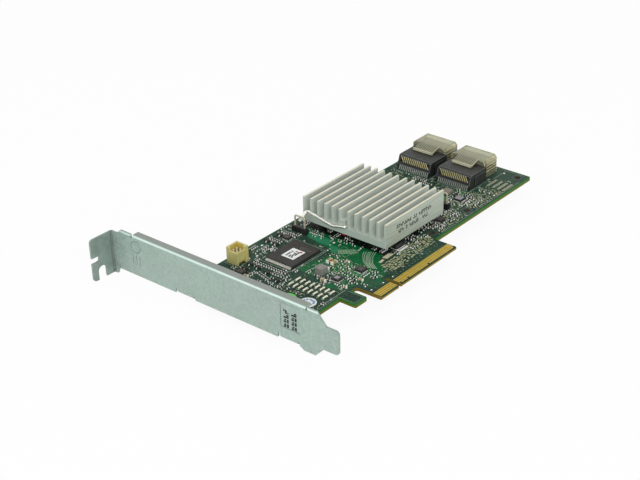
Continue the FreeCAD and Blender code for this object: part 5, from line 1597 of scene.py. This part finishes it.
class CARD_OT_chip_pads(bpy.types.Operator):
    """Set the tinned pads round the leadless chips, and lay grey ground tops on two of them"""

    bl_idname = "card.chip_pads"
    bl_label = "Chip pads and tops"

    def execute(self, context):
        places = []
        for name in ("power_stage_chip", "clock_chip", "tail_logic_chip", "supervisor_chip"):
            low, high = node_box(name)
            for side in (low.y, high.y):
                places += [(x, side, 0, 90) for x in pad_row(low.x, high.x, 0.5, 0.5)]
            for side in (low.x, high.x):
                places += [(side, y, 0, 0) for y in pad_row(low.y, high.y, 0.5, 0.5)]
        for name in ("header_driver_chip", "sink_side_chip"):
            low, high = node_box(name)
            for side in (low.x, high.x):
                places += [(side, y, 0, 0) for y in pad_row(low.y, high.y, 0.4, 0.65)]
        low, high = node_box("memory_chip_leads")
        strips = []
        for low_x, high_x in ((low.x - 0.25, low.x + 0.75), (high.x - 0.75, high.x + 0.25)):
            first = (low.y + high.y) / 2 - 13 * 0.5
            for y in [first + i * 0.5 for i in range(27)]:
                strips.append(((low_x, y - 0.16, PRINT_SUNK), (high_x, y + 0.16, 0.05)))
        place_on_card(bars("memory_pads", strips, "lead_dull"))
        pad = narrow_top(block("pad", (-0.34, -0.14, PRINT_SUNK), (0.34, 0.14, 0.12)), 0.8, 0.8, 0.12)
        place_on_card(copies(paint(pad, "tin"), places, "chip_pads"))
        tops = []
        for name, margin in (("power_stage_chip", 0.75), ("tail_logic_chip", 0.3)):
            low, high = node_box(name)
            corners = frame_route(low.x + margin, low.y + margin, high.x - margin, high.y - margin)[:4]
            top = slab("top", corners, high.z - 0.02, high.z + 0.02)
            tops.append(paint(top, "epoxy_grey"))
        place_on_card(join(tops, "ground_chip_tops"))
        return {"FINISHED"}


class CARD_OT_port_combs(bpy.types.Operator):
    """Fit both cable ports with their rows of bent contacts, painted shade inside them and painted highlights along
    their edges
    """

    bl_idname = "card.port_combs"
    bl_label = "Port combs"

    def execute(self, context):
        front = block("upper contact", (-0.1, -0.24, 0), (0.1, 0.24, 2.5))
        choose_top(front)
        shift(0.85, 1.9, 0)
        finish_edit()
        paint(bevel_edges(front, 0.04, 1), "comb_gold")
        # Painted shade: the inner row is black, for the dark gaps between the gold contacts
        behind = block("painted shade contact", (-0.1, -0.1, 0), (0.1, 0.1, 2.5))
        choose_top(behind)
        shift(-0.7, 1.9, 0)
        finish_edit()
        paint(behind, "resistor_black")
        foot = block("lower contact", (-1.2, -0.28, 0), (-0.75, 0.28, 0.14))
        choose(foot, lambda middle, normal: normal.x > 0.9)
        extrude(0.7, 0, 1.85)
        extrude(0.3, 0, 0)
        finish_edit()
        paint(foot, "comb_tin")
        count, pitch, feet, foot_pitch, sill = 12, 1.24, 16, 1.03, 3.4
        for label in ("near", "far"):
            low, high = node_box(label + "_port_housing")
            back, side, width = low.x, low.y, PORT_WIDTH
            spots = [side + 1.1 + pitch * i for i in range(count)]
            treads = [side + 0.9 + foot_pitch * i for i in range(feet)]
            rows = [
                copies(front, [(back + 0.38, y, sill, 0) for y in spots], "upper row", True),
                copies(behind, [(back + 1.9, y + pitch / 2, sill, 0) for y in spots[:-1]], "painted shade row", True),
                copies(foot, [(back + 0.02, y, 0, 0) for y in treads], "lower row", True),
            ]
            # Painted shade: a near-black plate inside the port's mouth
            mouth_shade = block("mouth_shade", (back + 2.75, side + 1.0, 3.35), (back + 3.05, side + width - 1.0, 5.95))
            rows.append(paint(mouth_shade, "hole"))
            place_on_card(join(rows, label + "_port_comb"), [label + "_port_contacts"])
            self.rims(label, low, side + width, high.z, high.x)
        for pattern in (front, behind, foot):
            bpy.data.objects.remove(pattern)
        return {"FINISHED"}

    def rims(self, label, low, far, tall, front):
        """Thin lighter lines along the moulding's edges, painted highlights, and a near-black patch of painted shade in
        the side pocket.
        """
        back, side = low.x, low.y
        ends = []
        for y in (side + 0.05, far - 0.05):
            ends.append([(back + 0.05, y, 2.05), (back + 1.2, y, tall - 0.5), (back + 2.2, y, tall - 0.02)])
            ends.append([(back + 2.2, y, tall - 0.03), (front - 0.1, y, tall - 0.03)])
        for x, z, short in ((back + 2.2, tall - 0.03, 0.05), (back + 1.22, tall - 0.5, 0.1), (back + 0.03, 2.1, 0.1)):
            ends.append([(x, side + short, z), (x, far - short, z)])
        y = side - 0.02
        ends.append([(back + 5.2, y, 0.3), (back + 5.2, y, 4.8), (front - 1.6, y, 4.8)])
        # Painted shade: a near-black patch where the side wall has a pocket
        pocket_shade = ((back + 5.3, side - 0.03, 0.4), (front - 1.7, side + 0.02, 4.7))
        place_on_card(bars(label + "_port_pocket_shade", [pocket_shade], "hole"))
        rim = strand(label + "_port_edge_highlights", ends, 0.09, 1)
        place_on_card(paint(rim, "port_edge_highlight"))


class CARD_OT_cap_lines(bpy.types.Operator):
    """Add the painted highlights along the dust caps' edges and on the ribs of their lips, the amber lines, and the
    lines of painted shade along the shelves' edges and over the tab
    """

    bl_idname = "card.cap_lines"
    bl_label = "Dust cap lines"

    def execute(self, context):
        for label in ("near", "far"):
            low, high = node_box(label + "_dust_cap")
            shell, bevel, half_tab, rib_step = 152.6, 1.2, 5.25, 0.5
            rims, ambers, shades = [], [], []
            for y, way in ((low.y, 1), (high.y, -1)):
                for x in (shell, high.x):
                    rims.append([(x, y, low.z + 0.3), (x, y, high.z - bevel), (x, y + way * bevel, high.z)])
                rims += [[(shell, y, z), (high.x, y, z)] for z in (5.9, 3.1)]
                ambers += [[(shell, y, z), (high.x, y, z)] for z in (high.z - bevel, 4.4)]
                shades += [[(shell + 0.2, y, z), (high.x - 0.2, y, z)] for z in (5.3, 3.8, 2.4, 1.2)]
            rims.append([(high.x, low.y + bevel, high.z), (high.x, high.y - bevel, high.z)])
            middle = (low.y + high.y) / 2
            tab_low, tab_high = middle - half_tab, middle + half_tab
            rims.append([(low.x, tab_low, 7.9), (low.x, tab_high, 7.9)])
            rims.append([(low.x, tab_low, 7.6), (shell, tab_low, high.z)])
            shades.append([(low.x + 0.5, tab_low, 7.45), (low.x + 0.5, tab_high, 7.45)])
            for i in range(9):
                y = tab_low + 0.65 + 1.15 * i
                shades.append([(x, y, high.z - 0.05 - 0.27 * (shell - x)) for x in (low.x + 1.5, shell - 0.4)])
            # Painted highlights along the edges and on the ribs, and painted shade along the shelves and over the tab
            kinds = (("cap_highlight", rims, 0.1), ("cap_amber", ambers, 0.12), ("cap_shade", shades, 0.2))
            pieces = [paint(strand(name, routes, radius, 1), name) for name, routes, radius in kinds]
            ribs = []
            for y in [tab_low + rib_step * i for i in range(1, 21)]:
                ribs.append(((low.x - 0.02, y, 6.75), (low.x + 0.3, y + 0.2, 7.85)))
            pieces.append(bars("ribs", ribs, "cap_highlight"))
            place_on_card(join(pieces, label + "_cap_lines"))
        return {"FINISHED"}


class CARD_OT_extra_parts(bpy.types.Operator):
    """Make the pad rows at the tail, the pale solder patches, the grey block before the ports and the red mark"""

    bl_idname = "card.extra_parts"
    bl_label = "Extra parts"

    def execute(self, context):
        strips = []
        for y in (21.3, 18.4, 15.7, 13.1):
            for x in [147.9 + i * 0.56 for i in range(14)]:
                for middle in (y - 0.42, y + 0.42):
                    strips.append(((x, middle - 0.15, PRINT_SUNK), (x + 0.34, middle + 0.15, 0.04)))
            strips.append(((147.4, y - 0.05, PRINT_SUNK), (156.2, y + 0.05, 0.03)))
        place_on_card(bars("tail_pad_rows", strips, "pad_pale"))
        patches = []
        for corners in (
            [(65.8, 18.9), (66.5, 16.7), (71.4, 17.0), (70.4, 19.1)],
            [(61.8, 17.7), (62.2, 16.6), (65.0, 17.0), (64.8, 18.1)],
        ):
            patch = inset_top(slab("patch", corners, PRINT_SUNK, 0.05), 0.15, rise=0.06)
            patches.append(paint(patch, "pad_pale"))
        place_on_card(join(patches, "solder_patches"))
        grey = inset_top(block("grey_block", (129.0, 29.6, 0), (133.0, 33.4, 1.5)), 0.35, -0.12)
        place_on_card(paint(smooth(bevel_edges(grey, 0.12, 2)), "block_grey"))
        red = block("red_mark", (71.0, 42.6, 0), (73.2, 44.2, 1.3))
        place_on_card(paint(smooth(bevel_edges(red, 0.35, 3)), "red"))
        return {"FINISHED"}


class CARD_OT_label_print(bpy.types.Operator):
    """Print the memory label, the mark beside it, and the dots on the round sticker"""

    bl_idname = "card.label_print"
    bl_label = "Label print"

    def execute(self, context):
        dice = random.Random(5)
        _, top = node_box("memory_label")
        boxes = []
        for y, tall, step, count in ((46.7, 2.3, 1.4, 4), (49.7, 1.1, 0.95, 5)):
            for a, b, c, d in strokes_in(print_cells(count, dice, 0.0), 41.6, step, tall, 0.95):
                boxes.append(((a, y + b, top.z - 0.01), (c, y + d, top.z + 0.02)))
        place_on_card(bars("label_marks", boxes, "ink_dark"))
        dot = inset_top(drum("label_dot", (47.2, 46.6, top.z - 0.01), 0.66, 0.025, 20), 0.05)
        place_on_card(paint(dot, "red"))
        _, chip = node_box("memory_chip")
        rings = [ring_route((50.25, 46.9), 2.9, 28, 0.36, QUARTER), ring_route((50.25, 46.9), 2.2, 24, 0.22, QUARTER)]
        oval = strand("oval_mark", [[(*point, chip.z) for point in ring] for ring in rings], 0.06)
        place_on_card(paint(oval, "ink_grey"))
        self.chip_marks(dice)
        self.sticker_dots()
        return {"FINISHED"}

    def chip_marks(self, dice):
        """Faint generic laser marks on the chip tops."""
        boxes = []
        for name in ("clock_chip", "supervisor_chip", "header_driver_chip", "sink_side_chip", "voltage_regulator"):
            low, high = node_box(name)
            tall, width, count = (high.y - low.y) * 0.2, high.x - low.x, 5
            step = width * 0.68 / count
            for row in range(2):
                y = low.y + (high.y - low.y) * (0.25 + 0.3 * row)
                cells = print_cells(count, dice, 0.1)
                for a, b, c, d in strokes_in(cells, low.x + width * 0.16, step, tall, 0.8):
                    boxes.append(((a, y + b, high.z - 0.01), (c, y + d, high.z + 0.01)))
        place_on_card(bars("chip_marks", boxes, "ink_grey"))

    def sticker_dots(self):
        """Small blue blots round the white sticker."""
        _, top = node_box("white_round_sticker")
        dots = []
        for angle, reach, size in (
            (-70, 2.4, 0.5), (-42, 2.5, 0.62), (-12, 2.2, 0.56), (14, 2.5, 0.46), (44, 2.3, 0.54), (72, 2.4, 0.44),
            (100, 2.4, 0.4), (140, 2.4, 0.4), (180, 2.4, 0.46), (220, 2.4, 0.4), (255, 2.3, 0.4),
        ):
            turn = math.radians(angle)
            place = (19.9 + reach * math.cos(turn), 20.3 + reach * math.sin(turn), top.z - 0.01)
            dots.append(paint(inset_top(drum("dot", place, size, 0.022, 12), 0.08), "ink_blue"))
        place_on_card(join(dots, "sticker_dots"))


class CARD_OT_metal_print(bpy.types.Operator):
    """Print the generic marks on the heat sink's side and in the bracket's marking area"""

    bl_idname = "card.metal_print"
    bl_label = "Marks on metal"

    def execute(self, context):
        dice = random.Random(17)
        low, _ = node_box("heat_sink")
        face = low.y
        boxes = []
        for z, start, end, tall in ((9.5, 75.0, 99.8, 1.8), (6.9, 75.0, 97.6, 1.8)):
            step = 1.3
            for a, b, c, d in strokes_in(print_cells(int((end - start) / step), dice), start, step, tall, 0.86):
                boxes.append(((a, face - 0.012, z + b), (c, face + 0.01, z + d)))
        place_on_card(bars("sink_marks", boxes, "ink_dark"))
        boxes = []
        for low_y, high_y, start, end in ((12.9, 15.4, 0.9, 8.6), (9.0, 11.5, 0.9, 9.6)):
            step = 2.0
            cells = print_cells(int((end - start) / step + 0.5), dice, 0.0)
            for a, b, c, d in strokes_in(cells, start, step, high_y - low_y, 0.85):
                boxes.append(((0.1, high_y - d, a), (0.165, high_y - b, c)))
        place_on_card(bars("bracket_marks", boxes, "ink_dark"))
        corners = ((7.5, 11.2), (16.0, 11.2), (16.8, 10.4), (16.8, 1.4), (16.0, 0.6), (7.5, 0.6))
        outline = [(0.16, y, z) for y, z in corners]
        stamp = [[(0.02, y, z) for y, z in ring_route((93.9, 8.4), 2.6, 28)]]
        stamp += [[(0.02, y, 4.6), (0.02, y, 0.2)] for y in (92.0, 93.9, 95.8)]
        lines = [strand("outline", [outline], 0.09, 1), strand("stamp", stamp, 0.14, 1)]
        place_on_card(paint(join(lines, "bracket_lines"), "zinc_line"))
        return {"FINISHED"}


# Stage


class CARD_OT_stage(bpy.types.Operator):
    """Set the white floor, the soft lights and the camera"""

    bl_idname = "card.stage"
    bl_label = "Stage"

    def execute(self, context):
        look = context.scene.card_stage
        self.floor(look)
        self.world(look)
        self.soft_light("Key light", look.key_power, 1.0, Vector((-0.7, -1.1, 0.6)))
        self.soft_light("Front light", look.front_power, 0.9, Vector((-1.2, -0.15, 0.45)))
        self.soft_light("Fill light", look.fill_power, 0.9, Vector((0.3, 0.2, 1.3)))
        self.camera(look)
        context.scene.view_settings.view_transform = "Standard"
        return {"FINISHED"}

    def floor(self, look):
        """A wide floor just under the card, white to the camera but for the card's shadow."""
        set_down()
        low = CAD_BOX[0].z - 0.2 * MM
        bpy.ops.mesh.primitive_plane_add(size=look.floor_size, location=(0.08, 0.03, low))
        floor = settle("floor")
        material, tree, shader = new_material("Floor paper", Roughness=0.9)
        _, patches = grain_and_patches(tree, 300.0, 3.0)
        shade = blend(tree, times(tree, patches, 0.1), look.floor, shaded(look.floor, 0.97))
        tree.links.new(shade, shader.inputs["Base Color"])
        seen = add_node(tree, "ShaderNodeLightPath")
        direct = sums(tree, "MAXIMUM", seen.outputs["Is Camera Ray"], seen.outputs["Is Glossy Ray"])
        direct = sums(tree, "MAXIMUM", direct, seen.outputs["Is Transmission Ray"])
        glow = add_node(tree, "ShaderNodeEmission", {"Color": (1, 1, 1, 1), "Strength": 1.0})
        mix = add_node(tree, "ShaderNodeMixShader", {"Fac": times(tree, direct, 0.93)})
        tree.links.new(shader.outputs["BSDF"], mix.inputs[1])
        tree.links.new(glow.outputs["Emission"], mix.inputs[2])
        tree.links.new(mix.outputs["Shader"], tree.nodes["Material Output"].inputs["Surface"])
        floor.data.materials.append(material)

    def world(self, look):
        """White to the camera and to reflections, and softer where it lights the card."""
        world = bpy.data.worlds.new("Studio")
        bpy.context.scene.world = world
        world.use_nodes = True
        tree = world.node_tree
        backdrop = tree.nodes["Background"]
        backdrop.inputs["Color"].default_value = (1, 1, 1, 1)
        seen = add_node(tree, "ShaderNodeLightPath")
        direct = sums(tree, "MAXIMUM", seen.outputs["Is Camera Ray"], seen.outputs["Is Transmission Ray"])
        direct = sums(tree, "MAXIMUM", direct, seen.outputs["Is Glossy Ray"])
        strength = sums(tree, "MULTIPLY_ADD", direct, 1.0 - look.sky, look.sky)
        tree.links.new(strength, backdrop.inputs["Strength"])

    def soft_light(self, name, power, size, place):
        """A square soft light that looks at the middle of the card."""
        set_down()
        bpy.ops.object.light_add(type="AREA", location=place)
        light = bpy.context.object
        light.name = name
        light.data.energy = power
        light.data.size = size
        aim = Vector((0.075, 0.035, 0.0)) - place
        light.rotation_euler = aim.to_track_quat("-Z", "Y").to_euler()

    def camera(self, look):
        """The camera stands where the picture was taken from, a little above the bracket's end."""
        set_down()
        bpy.ops.object.camera_add()
        camera = bpy.context.object
        right = Vector((0.61746, -0.78659, -0.00494))
        up = Vector((0.40135, 0.30964, 0.86200))
        ahead = Vector((0.67651, 0.53423, -0.50688))
        place = Vector((-320.4088, -272.0178, 271.2862)) * MM
        turn = Matrix((right, up, -ahead)).transposed().to_4x4()
        camera.matrix_world = Matrix.Translation(place) @ turn
        camera.data.sensor_width = 36
        camera.data.lens = look.lens
        camera.data.shift_x = -0.05509
        camera.data.shift_y = 0.07053
        camera.data.clip_start = 0.01
        camera.data.clip_end = 100
        bpy.context.scene.camera = camera


class CARD_PT_panel(bpy.types.Panel):
    """Settings and building steps of the controller card"""

    bl_idname = "CARD_PT_panel"
    bl_label = "Controller Card"
    bl_space_type = "VIEW_3D"
    bl_region_type = "UI"
    bl_category = "Controller Card"

    def draw(self, context):
        scene = context.scene
        for title, settings in (
            ("Board", scene.card_board),
            ("Metals", scene.card_metal),
            ("Plastics", scene.card_plastic),
            ("Small parts", scene.card_parts),
            ("Stage", scene.card_stage),
        ):
            box = self.layout.box()
            box.label(text=title)
            for name in settings.__annotations__:
                box.prop(settings, name)
        for step in STEPS:
            self.layout.operator(step.bl_idname)


SETTINGS = {
    "card_board": CardBoardLook,
    "card_metal": CardMetalLook,
    "card_plastic": CardPlasticLook,
    "card_parts": CardPartSizes,
    "card_stage": CardStageLook,
}
STEPS = (
    CARD_OT_mix_finishes,
    CARD_OT_stage,
    CARD_OT_board_finish,
    CARD_OT_contact_finish,
    CARD_OT_bracket_finish,
    CARD_OT_sink_finish,
    CARD_OT_moulding_finish,
    CARD_OT_pours,
    CARD_OT_hole_linings,
    CARD_OT_large_parts,
    CARD_OT_small_parts,
    CARD_OT_pad_fields,
    CARD_OT_header_highlight,
    CARD_OT_vias,
    CARD_OT_tracks,
    CARD_OT_legend,
    CARD_OT_chip_pads,
    CARD_OT_port_combs,
    CARD_OT_cap_lines,
    CARD_OT_extra_parts,
    CARD_OT_label_print,
    CARD_OT_metal_print,
)


def register():
    for group in SETTINGS.values():
        bpy.utils.register_class(group)
    for step in STEPS:
        bpy.utils.register_class(step)
    bpy.utils.register_class(CARD_PT_panel)
    for name, group in SETTINGS.items():
        setattr(bpy.types.Scene, name, bpy.props.PointerProperty(type=group))


def unregister():
    for name in SETTINGS:
        delattr(bpy.types.Scene, name)
    bpy.utils.unregister_class(CARD_PT_panel)
    for step in reversed(STEPS):
        bpy.utils.unregister_class(step)
    for group in reversed(list(SETTINGS.values())):
        bpy.utils.unregister_class(group)


def run_step(step):
    """Runs one building step through its operator."""
    family, name = step.bl_idname.split(".")
    getattr(getattr(bpy.ops, family), name)()


def main():
    register()
    for step in STEPS:
        run_step(step)


if __name__ == "__main__":
    main()
